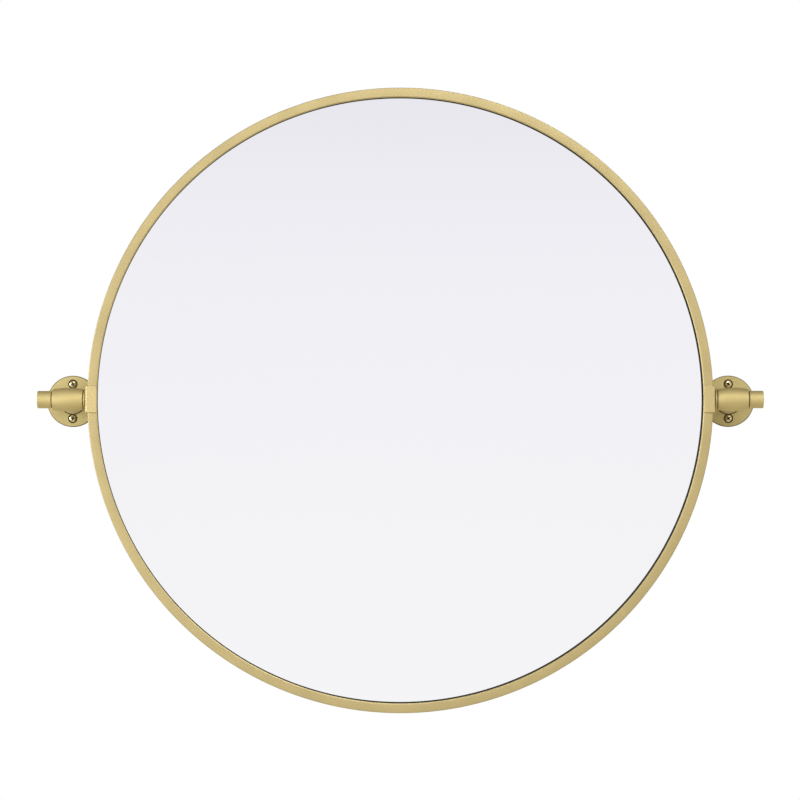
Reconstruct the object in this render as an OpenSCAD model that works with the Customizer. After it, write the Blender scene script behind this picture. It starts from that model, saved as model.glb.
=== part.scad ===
// Round pivot wall mirror.
// Millimetres, +Z up. The wall is the plane y = 0 and the mirror faces -Y.
// The origin is on the wall, midway between the two wall flanges.

/* [Frame] */
// Outer diameter of the round frame
frame_d = 609.6; // [450:1:800]
// Width of the front lip, as seen from the front
face_w = 9.3; // [8:0.1:14]
// Thickness of the frame's outer wall
frame_t = 1.6; // [1.2:0.1:2.4]
// Thickness of the front lip at its crown
lip_t = 1.6; // [1.4:0.1:3]
// How much the middle of the lip stands proud of its edges
lip_crown = 0.35; // [0.1:0.05:0.6]
// Radius of the frame's outer front corner
corner_r = 1.0; // [0.4:0.1:1.2]
// Rounding of the lip's inner front edge
lip_edge_r = 0.8; // [0.3:0.1:0.9]
// Gap between the frame wall and the edge of the glass
edge_gap = 3.7; // [3.6:0.1:5]
// Depth left free behind the backing board
rear_recess = 3.4; // [2.6:0.1:6]

/* [Glass and backing] */
// Thickness of the foam seal behind the lip
seal_t = 1.0; // [0.6:0.1:2]
// Width of the seal that shows inside the lip
seal_reveal = 1.4; // [0.5:0.1:3]
// Thickness of the mirror glass
glass_t = 4.0; // [3:0.5:6]
// Width of the seamed edge of the glass
seam_w = 0.5; // [0.2:0.1:0.8]
// Thickness of the foam sheet behind the glass
foam_t = 1.0; // [0.5:0.1:2]
// How far the foam sheet stops short of the edge of the glass
foam_inset = 6; // [2:1:15]
// Thickness of the backing board
board_t = 9; // [8.5:0.5:15]
// Bevel round the back of the board
board_bevel = 1.0; // [0.5:0.1:1.5]

/* [Setting blocks and tabs] */
// Number of rubber blocks round the edge of the glass
block_count = 8; // [4:4:12]
// Length of one block along the frame
block_l = 26; // [15:1:40]
// Length of a tab's foot on the board
tab_l = 16; // [14:1:22]
// Width of a tab
tab_w = 14; // [11:1:18]
// Sheet thickness of a tab
tab_t = 1.2; // [1:0.1:1.6]
// Depth of a tab's leg beside the board
tab_leg = 8; // [5:0.5:9]

/* [Small screws] */
// Diameter of the heads of the small screws
small_head_d = 6.4; // [5.5:0.1:7]
// Height of those heads
small_head_h = 1.9; // [1.4:0.1:2]
// Diameter of their shanks
small_shank_d = 3.0; // [2.5:0.1:3.5]
// Depth of their shanks in the board
small_grip = 7; // [5:0.5:8]

/* [Saddles] */
// Width of the saddle's front leg, out to its outer face
saddle_w = 10.8; // [9:0.1:14]
// Height of the saddle
saddle_h = 26; // [22:0.5:36]
// Sheet thickness of the saddle
saddle_t = 1.8; // [1.2:0.1:2.2]
// Outer radius of the saddle's bends
saddle_bend_r = 1.3; // [0.6:0.1:1.6]
// Radius of the saddle's corners, seen from the side
saddle_corner_r = 1.2; // [0.5:0.1:4]
// Length of the saddle's tail on the board
tail_l = 24; // [18:1:40]
// Distance between the two screws in the tail
tail_pitch = 14; // [12:0.5:14]

/* [Pivot] */
// Diameter of the pivot bolt
bolt_d = 8; // [7:0.5:9]
// Diameter of its head, inside the frame
bolt_head_d = 12.6; // [11.5:0.1:12.8]
// Thickness of its head
bolt_head_t = 2.6; // [1.5:0.1:2.8]
// Length of bolt inside the knob
bolt_engage = 9.5; // [6:0.5:10]
// Thickness of a fibre friction washer
fibre_t = 0.8; // [0.5:0.1:1.5]
// Diameter of a fibre friction washer
fibre_d = 18; // [15:0.5:19]
// Thickness of the brass spacer washer
spacer_t = 1.3; // [1:0.1:3]
// Diameter of the brass spacer washer
spacer_d = 20.6; // [19:0.2:22]
// Wall of the nylon bush in the barrel
bush_wall = 1.45; // [1:0.05:1.6]
// How far the bush lies inside the barrel's ends
bush_inset = 0.3; // [0.1:0.1:1]

/* [Brackets] */
// Distance from the wall to the pivot axis
pivot_out = 48; // [42:0.5:75]
// Length of the barrel
barrel_l = 30; // [26:0.5:40]
// Diameter of the barrel at its middle
barrel_d = 23; // [22:0.1:26]
// Diameter of the barrel at its ends
barrel_end_d = 20.2; // [19:0.1:21.8]
// Rounding of the barrel's end edges
barrel_edge = 0.6; // [0.3:0.1:1]
// Diameter of the post's neck
post_d = 14; // [12:0.5:16]
// Diameter of the post's foot
post_foot_d = 25; // [20:0.1:25.2]
// Height of the foot's rim
post_rim = 2.2; // [1.2:0.1:4]
// Distance from the pivot axis to the floor of the post's socket
socket_floor = 8; // [7.4:0.1:8.6]
// Diameter of a wall flange
flange_d = 50.8; // [47:0.2:65]
// Thickness of a wall flange
flange_t = 5; // [4.5:0.5:8]
// Rounding of the flange's front edge
flange_edge = 0.8; // [0.4:0.1:1.5]
// Depth of the seat for the post's foot
seat_depth = 0.8; // [0.4:0.1:1.2]

/* [Bracket screws] */
// Distance between the two wall screws of a flange
screw_pitch = 34; // [33.8:0.2:36]
// Diameter of a wall screw's head
wall_head_d = 7.6; // [7:0.1:7.6]
// Rise of the oval top of a wall screw's head
wall_head_rise = 1.1; // [0.8:0.1:1.1]
// How deep the edge of a wall screw's head lies in its countersink
wall_head_sink = 0.6; // [0.3:0.1:0.7]
// Diameter of a wall screw's plain shank, in the flange
wall_shank_d = 4.2; // [3.9:0.1:4.6]
// Diameter of its threaded length, in the wall
wall_thread_d = 3.6; // [3:0.1:3.8]
// Length of a wall screw, from the flange's front face
wall_screw_l = 32; // [25:1:60]
// Diameter of the screw that holds the post to the flange
post_screw_d = 6; // [5:0.5:7]
// Diameter of that screw's head
post_head_d = 11.6; // [10.5:0.1:12.2]
// Length of that screw
post_screw_l = 20; // [14:1:24]

/* [Knobs] */
// Diameter of an end knob
knob_d = 17; // [15:0.5:20]
// Length of an end knob
knob_l = 13.5; // [12.5:0.5:20]
// Rounding of the knob's outer edge
knob_edge = 0.7; // [0.3:0.1:1.5]
// Thickness of the metal at the knob's closed end
knob_cap = 2.4; // [1.5:0.1:2.6]
// Width of the groove between barrel and knob
knob_groove = 1.0; // [0.6:0.1:2]
// Diameter of the washer in that groove
knob_washer_d = 14.5; // [12:0.5:14.9]

/* [Fits] */
// Clearance where pieces of one assembly are slid together
seat_fit = 0.05; // [0.03:0.01:0.1]
// Running clearance of the bolt in its bush and of the washers on the barrel
running_fit = 0.05; // [0.03:0.01:0.08]
// Clearance of screws and washers in and on their holes
hole_fit = 0.2; // [0.1:0.05:0.3]

/* [Hidden] */

$fn = 96;
RING_FN = 240;

BRASS = [0.84, 0.76, 0.54];
STEEL = [0.72, 0.71, 0.68];
SEAL = [0.07, 0.06, 0.05];
FIBRE = [0.22, 0.17, 0.10];
GLASS = [0.90, 0.91, 0.94];
FOAM = [0.88, 0.88, 0.86];
BOARD = [0.62, 0.48, 0.32];
NYLON = [0.85, 0.84, 0.80];

LEFT = -1;
RIGHT = 1;
LEAD = 1;  // how far a cutting shape runs past what it cuts

// Frame, from the centre outwards
frame_r = frame_d / 2;
lip_r = frame_r - face_w;
wall_in_r = frame_r - frame_t;
glass_r = wall_in_r - edge_gap;

// Frame, from front to back
frame_depth = lip_t + seal_t + glass_t + foam_t + board_t + rear_recess;
front_y = -pivot_out - frame_depth / 2;
back_y = front_y + frame_depth;
seal_y = front_y + lip_t;
glass_y = seal_y + seal_t;
foam_y = glass_y + glass_t;
board_y = foam_y + foam_t;
board_back_y = board_y + board_t;

// Saddle. Its plates clear the curved wall at the saddle's top and bottom edges
saddle_x = frame_r + seat_fit + saddle_t;
step_x = sqrt(pow(wall_in_r, 2) - pow(saddle_h / 2, 2)) - hole_fit;
tail_x = step_x - tail_l;
tail_screw_x = tail_x + small_head_d;

// Pivot stack, outwards along +X
neck_side = bolt_d;
bolt_head_x = sqrt(pow(wall_in_r, 2) - pow(bolt_head_d / 2, 2)) - seat_fit;
spacer_x = saddle_x + fibre_t;
barrel_x = spacer_x + spacer_t + fibre_t + 2 * running_fit;
barrel_end_x = barrel_x + barrel_l;
bracket_x = barrel_x + barrel_l / 2;
knob_x = barrel_end_x + knob_groove;
bolt_end_x = knob_x + bolt_engage;
bush_d = bolt_d + 2 * running_fit + 2 * bush_wall;
washer_bore_d = bolt_d + 2 * hole_fit;
knob_washer_t = knob_groove - 2 * running_fit;

// Barrel's outline: an arc through its ends and its middle
barrel_rise = (barrel_d - barrel_end_d) / 2;
barrel_arc_r = (pow(barrel_l / 2, 2) + pow(barrel_rise, 2)) / (2 * barrel_rise);

// Lip's crown: an arc through its two edges
crown_r = (pow(face_w / 2, 2) + pow(lip_crown, 2)) / (2 * lip_crown);
lip_mid_r = lip_r + face_w / 2;

// Post
post_back_y = -flange_t + seat_depth;
cove_r = (post_foot_d - post_d) / 2;

// Two tabs in each quarter of the frame, every 30 degrees but for the saddles, the top and the bottom
TAB_ANGLES = [for (quadrant = [0:3]) for (step = [1, 2]) quadrant * 90 + step * 30];

// ---------- helpers ----------

// Turns a shape drawn along +Z to lie along +Y, starting at depth y
module along_y(y) {
    translate([0, y, 0])
        rotate([-90, 0, 0])
            children();
}

// Turns a shape drawn along +Z to lie on the pivot axis along +X, starting at x
module along_x(x) {
    translate([x, -pivot_out, 0])
        rotate([0, 90, 0])
            children();
}

// Every side piece is drawn for the right and mirrored for the left
module side(hand) {
    if (hand == LEFT)
        mirror([1, 0, 0])
            children();
    else
        children();
}

module tube(outer_d, inner_d, length) {
    difference() {
        cylinder(d = outer_d, h = length);
        translate([0, 0, -LEAD])
            cylinder(d = inner_d, h = length + 2 * LEAD);
    }
}

// A rectangle given by two corners
module bar(x0, y0, x1, y1) {
    translate([x0, y0])
        square([x1 - x0, y1 - y0]);
}

// What to cut off to round the corner at [x, y]; sx and sy point from the corner into the shape
module round_off(x, y, sx, sy, r) {
    translate([x, y])
        mirror([sx < 0 ? 1 : 0, 0])
            mirror([0, sy < 0 ? 1 : 0])
                difference() {
                    translate([-LEAD, -LEAD])
                        square(r + LEAD);
                    translate([r, r])
                        circle(r = r);
                }
}

// A cross recess, sunk from z = 0 downwards
module cross_recess(span, depth) {
    for (turn = [0, 90])
        rotate(turn)
            translate([-span / 2, -span / 8, -depth])
                cube([span, span / 4, depth + LEAD]);
}

// A small pan-head screw: its head stands on z = 0 and its shank runs down
module small_screw(grip) {
    dome_r = (pow(small_head_d / 2, 2) + pow(small_head_h, 2)) / (2 * small_head_h);
    difference() {
        intersection() {
            cylinder(d = small_head_d, h = small_head_h);
            translate([0, 0, small_head_h - dome_r])
                sphere(r = dome_r);
        }
        translate([0, 0, small_head_h])
            cross_recess(small_head_d / 2, small_head_h / 2);
    }
    translate([0, 0, -grip])
        cylinder(d = small_shank_d, h = grip);
}

// ---------- frame, glass and backing ----------

// What to cut off so that the crown runs smoothly into an arc of radius r and ends at the lip's
// outer edge (sx = 1) or its inner edge (sx = -1)
module crown_end(sx, r) {
    across = face_w / 2 - r;
    depth = sqrt(pow(crown_r - r, 2) - pow(across, 2));
    reach = 2 * r / (crown_r - r);
    translate([lip_mid_r + sx * across, crown_r - depth])
        difference() {
            polygon([[0, 0], [sx * across * reach, -depth * reach], [sx * 3 * r, -depth * reach],
                [sx * 3 * r, 0]]);
            circle(r = r);
        }
}

// Section of the frame: x is the radius and y the depth behind the front
module frame_section() {
    difference() {
        union() {
            intersection() {
                bar(lip_r, 0, frame_r, lip_t);
                translate([lip_mid_r, crown_r])
                    circle(r = crown_r, $fn = 2 * RING_FN);
            }
            bar(wall_in_r, lip_t, frame_r, frame_depth);
        }
        crown_end(1, corner_r);
        crown_end(-1, lip_edge_r);
    }
}

module neck_hole(x0, x1) {
    half = neck_side / 2 + hole_fit / 2;
    translate([x0, -pivot_out - half, -half])
        cube([x1 - x0, 2 * half, 2 * half]);
}

module frame_ring() {
    color(BRASS)
        difference() {
            along_y(front_y)
                rotate_extrude($fn = RING_FN)
                    frame_section();
            for (hand = [LEFT, RIGHT])
                side(hand)
                    neck_hole(wall_in_r - LEAD, frame_r + LEAD);
        }
}

module front_seal() {
    color(SEAL)
        along_y(seal_y)
            rotate_extrude($fn = RING_FN)
                bar(lip_r - seal_reveal, 0, glass_r, seal_t);
}

module mirror_glass() {
    color(GLASS)
        along_y(glass_y) {
            cylinder(r1 = glass_r - seam_w, r2 = glass_r, h = seam_w, $fn = RING_FN);
            translate([0, 0, seam_w])
                cylinder(r = glass_r, h = glass_t - 2 * seam_w, $fn = RING_FN);
            translate([0, 0, glass_t - seam_w])
                cylinder(r1 = glass_r, r2 = glass_r - seam_w, h = seam_w, $fn = RING_FN);
        }
}

module foam_sheet() {
    color(FOAM)
        along_y(foam_y)
            cylinder(r = glass_r - foam_inset, h = foam_t, $fn = RING_FN);
}

module backing_board() {
    color(BOARD)
        difference() {
            along_y(board_y) {
                cylinder(r = glass_r, h = board_t - board_bevel, $fn = RING_FN);
                translate([0, 0, board_t - board_bevel])
                    cylinder(r1 = glass_r, r2 = glass_r - board_bevel, h = board_bevel, $fn = RING_FN);
            }
            at_tab_screws()
                pilot_hole();
            at_saddle_screws()
                pilot_hole();
        }
}

// A blind hole in the back of the board, drawn with the back at z = 0
module pilot_hole() {
    translate([0, 0, -small_grip - seat_fit])
        cylinder(d = small_shank_d + 2 * seat_fit, h = small_grip + seat_fit + LEAD);
}

module edge_blocks() {
    block_in_r = glass_r + seat_fit;
    block_out_r = wall_in_r - seat_fit;
    sweep = block_l / block_out_r * 180 / PI;
    color(SEAL)
        along_y(glass_y)
            for (k = [0:block_count - 1])
                rotate((k + 0.5) * 360 / block_count - sweep / 2)
                    rotate_extrude(angle = sweep, $fn = RING_FN)
                        bar(block_in_r, 0, block_out_r, glass_t + foam_t + board_t - board_bevel);
}

// ---------- tabs and small screws ----------

tab_out_r = sqrt(pow(wall_in_r, 2) - pow(tab_w / 2, 2)) - seat_fit;
tab_screw_r = tab_out_r - tab_l + small_head_d;

module at_tab_screws() {
    for (angle = TAB_ANGLES)
        rotate([0, -angle, 0])
            translate([tab_screw_r, 0, 0])
                along_y(board_back_y)
                    children();
}

module at_saddle_screws() {
    for (hand = [LEFT, RIGHT])
        side(hand)
            for (z = [-tail_pitch / 2, tail_pitch / 2])
                translate([tail_screw_x, 0, z])
                    along_y(board_back_y)
                        children();
}

module tab() {
    foot_end = tab_out_r - tab_l;
    difference() {
        union() {
            translate([tab_out_r - tab_t, board_back_y - tab_leg, -tab_w / 2])
                cube([tab_t, tab_leg + tab_t, tab_w]);
            translate([foot_end + tab_w / 4, board_back_y, -tab_w / 2])
                cube([tab_l - tab_w / 4, tab_t, tab_w]);
            translate([foot_end, board_back_y, -tab_w / 4])
                cube([tab_l, tab_t, tab_w / 2]);
            for (z = [-tab_w / 4, tab_w / 4])
                translate([foot_end + tab_w / 4, 0, z])
                    along_y(board_back_y)
                        cylinder(r = tab_w / 4, h = tab_t);
        }
        translate([tab_screw_r, 0, 0])
            along_y(board_back_y - LEAD)
                cylinder(d = small_shank_d + 2 * hole_fit, h = tab_t + 2 * LEAD);
    }
}

module retaining_tabs() {
    color(STEEL)
        for (angle = TAB_ANGLES)
            rotate([0, -angle, 0])
                tab();
}

module tab_screws() {
    color(STEEL)
        at_tab_screws()
            translate([0, 0, tab_t])
                small_screw(tab_t + small_grip);
}

module saddle_screws() {
    color(STEEL)
        at_saddle_screws()
            translate([0, 0, saddle_t])
                small_screw(saddle_t + small_grip);
}

// ---------- saddle and pivot ----------

// Plan of the saddle: front leg, side plate, rear leg, step and tail
module saddle_plan() {
    leg_x = saddle_x - saddle_w;
    side_in_x = saddle_x - saddle_t;
    leg_y = front_y - seat_fit;
    rear_y = back_y + seat_fit;
    difference() {
        union() {
            bar(leg_x, leg_y - saddle_t, saddle_x, leg_y);
            bar(side_in_x, leg_y - saddle_t, saddle_x, rear_y + saddle_t);
            bar(step_x - saddle_t, rear_y, saddle_x, rear_y + saddle_t);
            bar(step_x - saddle_t, board_back_y, step_x, rear_y + saddle_t);
            bar(tail_x, board_back_y, step_x, board_back_y + saddle_t);
        }
        round_off(saddle_x, leg_y - saddle_t, -1, 1, saddle_bend_r);
        round_off(saddle_x, rear_y + saddle_t, -1, -1, saddle_bend_r);
        round_off(step_x - saddle_t, rear_y + saddle_t, 1, -1, saddle_bend_r);
        round_off(step_x, board_back_y, -1, 1, saddle_bend_r);
    }
}

// The saddle's outline from the side: a plate with rounded corners
module saddle_side() {
    y0 = front_y - seat_fit - saddle_t;
    y1 = back_y + seat_fit + saddle_t;
    half = saddle_h / 2;
    difference() {
        bar(y0, -half, y1, half);
        round_off(y0, -half, 1, 1, saddle_corner_r);
        round_off(y0, half, 1, -1, saddle_corner_r);
        round_off(y1, -half, -1, 1, saddle_corner_r);
        round_off(y1, half, -1, -1, saddle_corner_r);
    }
}

module saddle() {
    color(BRASS)
        difference() {
            intersection() {
                translate([0, 0, -saddle_h])
                    linear_extrude(2 * saddle_h)
                        saddle_plan();
                rotate([90, 0, 90])
                    linear_extrude(frame_d)
                        saddle_side();
            }
            neck_hole(frame_r, saddle_x + LEAD);
            for (z = [-tail_pitch / 2, tail_pitch / 2])
                translate([tail_screw_x, 0, z])
                    along_y(board_back_y - LEAD)
                        cylinder(d = small_shank_d + 2 * hole_fit, h = saddle_t + 2 * LEAD);
        }
}

module pivot_bolt() {
    bevel = bolt_d / 10;
    shank_l = bolt_end_x - saddle_x + hole_fit;
    color(STEEL) {
        along_x(bolt_head_x - bolt_head_t) {
            cylinder(d1 = bolt_head_d - bolt_head_t, d2 = bolt_head_d, h = bolt_head_t / 2);
            translate([0, 0, bolt_head_t / 2])
                cylinder(d = bolt_head_d, h = bolt_head_t / 2);
        }
        translate([bolt_head_x, -pivot_out - neck_side / 2, -neck_side / 2])
            cube([saddle_x - hole_fit - bolt_head_x, neck_side, neck_side]);
        along_x(saddle_x - hole_fit) {
            cylinder(d = bolt_d, h = shank_l - bevel);
            translate([0, 0, shank_l - bevel])
                cylinder(d1 = bolt_d, d2 = bolt_d - 2 * bevel, h = bevel);
        }
    }
}

module friction_washers() {
    color(FIBRE)
        for (x = [saddle_x, spacer_x + spacer_t])
            along_x(x)
                tube(fibre_d, washer_bore_d, fibre_t);
}

module spacer_washer() {
    bevel = spacer_t / 5;
    color(BRASS)
        along_x(spacer_x)
            difference() {
                union() {
                    cylinder(d1 = spacer_d - 2 * bevel, d2 = spacer_d, h = bevel);
                    translate([0, 0, bevel])
                        cylinder(d = spacer_d, h = spacer_t - 2 * bevel);
                    translate([0, 0, spacer_t - bevel])
                        cylinder(d1 = spacer_d, d2 = spacer_d - 2 * bevel, h = bevel);
                }
                translate([0, 0, -LEAD])
                    cylinder(d = washer_bore_d, h = spacer_t + 2 * LEAD);
            }
}

// ---------- bracket ----------

// Half section of the barrel: x is the radius and y runs along the pivot axis
module barrel_section() {
    difference() {
        intersection() {
            bar(bush_d / 2 + seat_fit, 0, barrel_d / 2, barrel_l);
            translate([barrel_d / 2 - barrel_arc_r, barrel_l / 2])
                circle(r = barrel_arc_r, $fn = 4 * RING_FN);
        }
        round_off(barrel_end_d / 2, 0, -1, 1, barrel_edge);
        round_off(barrel_end_d / 2, barrel_l, -1, -1, barrel_edge);
    }
}

module barrel() {
    color(BRASS)
        difference() {
            along_x(barrel_x)
                rotate_extrude()
                    barrel_section();
            translate([bracket_x, 0, 0])
                along_y(-pivot_out + socket_floor)
                    cylinder(d = post_d + 2 * seat_fit, h = barrel_d);
        }
}

module pivot_bush() {
    color(NYLON)
        along_x(barrel_x + bush_inset)
            tube(bush_d, bolt_d + 2 * running_fit, barrel_l - 2 * bush_inset);
}

// Half section of the post: x is the radius and y the height above the back of the foot
module post_section(length) {
    foot_r = post_foot_d / 2;
    bar(0, 0, post_d / 2, length);
    difference() {
        bar(0, 0, foot_r, post_rim + cove_r);
        translate([foot_r, post_rim + cove_r])
            circle(r = cove_r);
    }
}

module post() {
    length = pivot_out - socket_floor - seat_fit + post_back_y;
    color(BRASS)
        translate([bracket_x, 0, 0])
            difference() {
                translate([0, post_back_y, 0])
                    rotate([90, 0, 0])
                        rotate_extrude()
                            post_section(length);
                along_y(-post_screw_l - seat_fit)
                    cylinder(d = post_screw_d + 2 * seat_fit, h = post_screw_l + seat_fit);
            }
}

// A countersink whose rim lies at z = 0 and which narrows downwards
module countersink(rim_d, hole_d, extra) {
    depth = (rim_d - hole_d) / 2;
    translate([0, 0, -depth])
        cylinder(d1 = hole_d, d2 = rim_d, h = depth);
    cylinder(d = rim_d, h = extra);
}

module at_wall_screws() {
    for (z = [-screw_pitch / 2, screw_pitch / 2])
        translate([bracket_x, -flange_t, z])
            rotate([90, 0, 0])
                children();
}

module flange_section() {
    r = flange_d / 2;
    difference() {
        bar(0, 0, r, flange_t);
        round_off(r, flange_t, -1, -1, flange_edge);
    }
}

module flange() {
    shank_hole_d = wall_shank_d + 2 * hole_fit;
    post_hole_d = post_screw_d + 2 * hole_fit;
    color(BRASS)
        difference() {
            translate([bracket_x, 0, 0])
                rotate([90, 0, 0])
                    rotate_extrude()
                        flange_section();
            translate([bracket_x, 0, 0])
                along_y(-flange_t - LEAD)
                    cylinder(d = post_foot_d + 2 * seat_fit, h = seat_depth + LEAD);
            translate([bracket_x, 0, 0])
                along_y(-flange_t - LEAD)
                    cylinder(d = post_hole_d, h = flange_t + 2 * LEAD);
            translate([bracket_x, 0, 0])
                along_y(0)
                    countersink(post_head_d + 2 * hole_fit, post_hole_d, LEAD);
            at_wall_screws() {
                translate([0, 0, -flange_t - LEAD])
                    cylinder(d = shank_hole_d, h = flange_t + 2 * LEAD);
                countersink(wall_head_d + 2 * wall_head_sink + 2 * hole_fit, shank_hole_d, LEAD);
            }
        }
}

module post_screws() {
    cone_h = (post_head_d - post_screw_d) / 2;
    color(STEEL)
        for (hand = [LEFT, RIGHT])
            side(hand)
                translate([bracket_x, 0, 0])
                    difference() {
                        along_y(-post_screw_l) {
                            cylinder(d = post_screw_d, h = post_screw_l - cone_h);
                            translate([0, 0, post_screw_l - cone_h])
                                cylinder(d1 = post_screw_d, d2 = post_head_d, h = cone_h);
                        }
                        along_y(-cone_h)
                            cylinder(d = post_screw_d / 2 + 1, h = cone_h + LEAD, $fn = 6);
                    }
}

// A wall screw with the flange's front face at z = 0 and its point downwards. Its head lies in the
// countersink, and its plain shank ends at the back of the flange
module wall_screw() {
    head_r = wall_head_d / 2;
    cone_h = (wall_head_d - wall_shank_d) / 2;
    dome_r = (pow(head_r, 2) + pow(wall_head_rise, 2)) / (2 * wall_head_rise);
    tip_l = wall_thread_d * 1.5;
    translate([0, 0, -wall_head_sink])
        difference() {
            union() {
                translate([0, 0, -cone_h])
                    cylinder(d1 = wall_shank_d, d2 = wall_head_d, h = cone_h);
                intersection() {
                    cylinder(d = wall_head_d, h = wall_head_rise);
                    translate([0, 0, wall_head_rise - dome_r])
                        sphere(r = dome_r);
                }
            }
            translate([0, 0, wall_head_rise])
                cross_recess(wall_head_d / 2, wall_head_rise + cone_h / 2);
        }
    translate([0, 0, -flange_t])
        cylinder(d = wall_shank_d, h = flange_t - wall_head_sink - cone_h);
    translate([0, 0, tip_l - wall_screw_l])
        cylinder(d = wall_thread_d, h = wall_screw_l - tip_l - flange_t);
    translate([0, 0, -wall_screw_l])
        cylinder(d1 = wall_thread_d / 6, d2 = wall_thread_d, h = tip_l);
}

module wall_screws() {
    color(STEEL)
        for (hand = [LEFT, RIGHT])
            side(hand)
                at_wall_screws()
                    wall_screw();
}

// ---------- end knobs ----------

module knob_washer() {
    color(FIBRE)
        along_x(barrel_end_x + running_fit)
            tube(knob_washer_d, washer_bore_d, knob_washer_t);
}

// Half section of the knob: x is the radius and y runs outwards from its inner end
module knob_section() {
    bore_r = bolt_d / 2 + running_fit;
    r = knob_d / 2;
    difference() {
        bar(0, 0, r, knob_l);
        bar(-LEAD, -LEAD, bore_r, knob_l - knob_cap);
        round_off(r, knob_l, -1, -1, knob_edge);
        round_off(r, 0, -1, 1, knob_edge / 2);
    }
}

module knob() {
    color(BRASS)
        along_x(knob_x)
            rotate_extrude()
                knob_section();
}

// ---------- nodes ----------

frame_ring();
front_seal();
mirror_glass();
foam_sheet();
backing_board();
edge_blocks();
retaining_tabs();
tab_screws();
side(LEFT) saddle();  // left_saddle
side(RIGHT) saddle();  // right_saddle
saddle_screws();
side(LEFT) pivot_bolt();  // left_pivot_bolt
side(RIGHT) pivot_bolt();  // right_pivot_bolt
side(LEFT) friction_washers();  // left_friction_washers
side(RIGHT) friction_washers();  // right_friction_washers
side(LEFT) spacer_washer();  // left_spacer_washer
side(RIGHT) spacer_washer();  // right_spacer_washer
side(LEFT) barrel();  // left_barrel
side(RIGHT) barrel();  // right_barrel
side(LEFT) pivot_bush();  // left_pivot_bush
side(RIGHT) pivot_bush();  // right_pivot_bush
side(LEFT) post();  // left_post
side(RIGHT) post();  // right_post
side(LEFT) flange();  // left_flange
side(RIGHT) flange();  // right_flange
post_screws();
wall_screws();
side(LEFT) knob_washer();  // left_knob_washer
side(RIGHT) knob_washer();  // right_knob_washer
side(LEFT) knob();  // left_knob
side(RIGHT) knob();  // right_knob
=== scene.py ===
"""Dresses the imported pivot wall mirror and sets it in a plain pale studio.

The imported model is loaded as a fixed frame. Each sub-assembly that shows is modelled again at a finer grain on the
frame's own places, gets its finish, and rides on the body that it belongs to. Lengths are in metres, +Z is up, the
wall is the plane y = 0 and the mirror faces -Y.
"""

import sys

import logging
import math
from collections import Counter
from contextlib import contextmanager
from dataclasses import dataclass, field
from enum import Enum
from typing import Callable, Iterator, Sequence

import bmesh
import bpy
from mathutils import Matrix, Vector


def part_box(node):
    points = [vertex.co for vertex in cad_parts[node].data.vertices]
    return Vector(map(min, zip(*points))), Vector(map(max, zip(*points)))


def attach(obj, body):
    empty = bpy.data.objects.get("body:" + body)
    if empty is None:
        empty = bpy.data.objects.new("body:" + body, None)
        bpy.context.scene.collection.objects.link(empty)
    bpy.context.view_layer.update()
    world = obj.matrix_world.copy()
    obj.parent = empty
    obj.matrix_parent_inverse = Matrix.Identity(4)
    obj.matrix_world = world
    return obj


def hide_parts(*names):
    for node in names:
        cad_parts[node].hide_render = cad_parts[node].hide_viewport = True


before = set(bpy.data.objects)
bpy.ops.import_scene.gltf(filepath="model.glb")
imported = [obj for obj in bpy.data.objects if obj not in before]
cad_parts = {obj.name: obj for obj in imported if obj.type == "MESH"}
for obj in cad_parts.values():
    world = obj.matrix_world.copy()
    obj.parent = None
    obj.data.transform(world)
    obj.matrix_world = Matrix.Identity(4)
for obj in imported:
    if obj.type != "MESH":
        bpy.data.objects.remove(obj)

LOG = logging.getLogger("pivot_wall_mirror")

# A millimetre, and the least distance that keeps a piece inside its node's box
MM = 0.001
HAIR = 0.01 * MM

FULL_TURN = 2 * math.pi
QUARTER_TURN = math.pi / 2

RIGHT = Vector((1, 0, 0))
BACK = Vector((0, 1, 0))
FRONT = Vector((0, -1, 0))
UP = Vector((0, 0, 1))

# A face looks along an axis where its normal has more than this share of it
FACING = 0.9
# Sharpest angle, in degrees, that is shaded smooth where a piece asks for no other
SMOOTH_DEG = 35
# Sharpest angle, in degrees, that stays unrounded where a screw's recess is softened
RECESS_DEG = 55

WHITE = (1.0, 1.0, 1.0, 1.0)

Piece = bpy.types.Object
Socket = bpy.types.NodeSocket
Colour = tuple[float, float, float]
Point = tuple[float, float]
VectorTest = Callable[[Vector, Vector], bool]


class Hand(Enum):
    """The two sides of the mirror, as the sign of x."""

    LEFT = -1
    RIGHT = 1

    def node(self, base: str) -> str:
        """The name of this side's node or piece."""
        return f"{self.name.lower()}_{base}"


# ---------- outlines and the bench ----------


@dataclass
class Outline:
    """A flat outline, kept as points that are drawn in turn."""

    points: list[Point] = field(default_factory=list)

    def to(self, *points: Point) -> "Outline":
        """Adds straight stretches to the points given."""
        self.points.extend(points)
        return self

    def arc(self, centre: Point, radius: float, start: float, end: float, steps: int) -> "Outline":
        """Adds an arc.

        Args:
            centre: Centre of the arc.
            radius: Radius of the arc.
            start: Angle of its first point in degrees: 0 points to the outline's first number going down, and 90
                to its second number going up.
            end: Angle of its last point, on the same scale.
            steps: Number of straight pieces.

        Returns:
            This outline, so that calls can be chained.
        """
        for step in range(steps + 1):
            angle = math.radians(start + (end - start) * step / steps)
            self.points.append((centre[0] - radius * math.cos(angle), centre[1] + radius * math.sin(angle)))
        return self


@dataclass(frozen=True)
class Spindle:
    """A line that turned pieces are round. An outline's first number runs along it, and its second away from it."""

    centre: Vector
    along: Vector
    out: Vector

    def place(self, point: Point) -> Vector:
        """Where a point of an outline lies in the frame."""
        return self.centre + self.along * point[0] + self.out * point[1]


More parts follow.
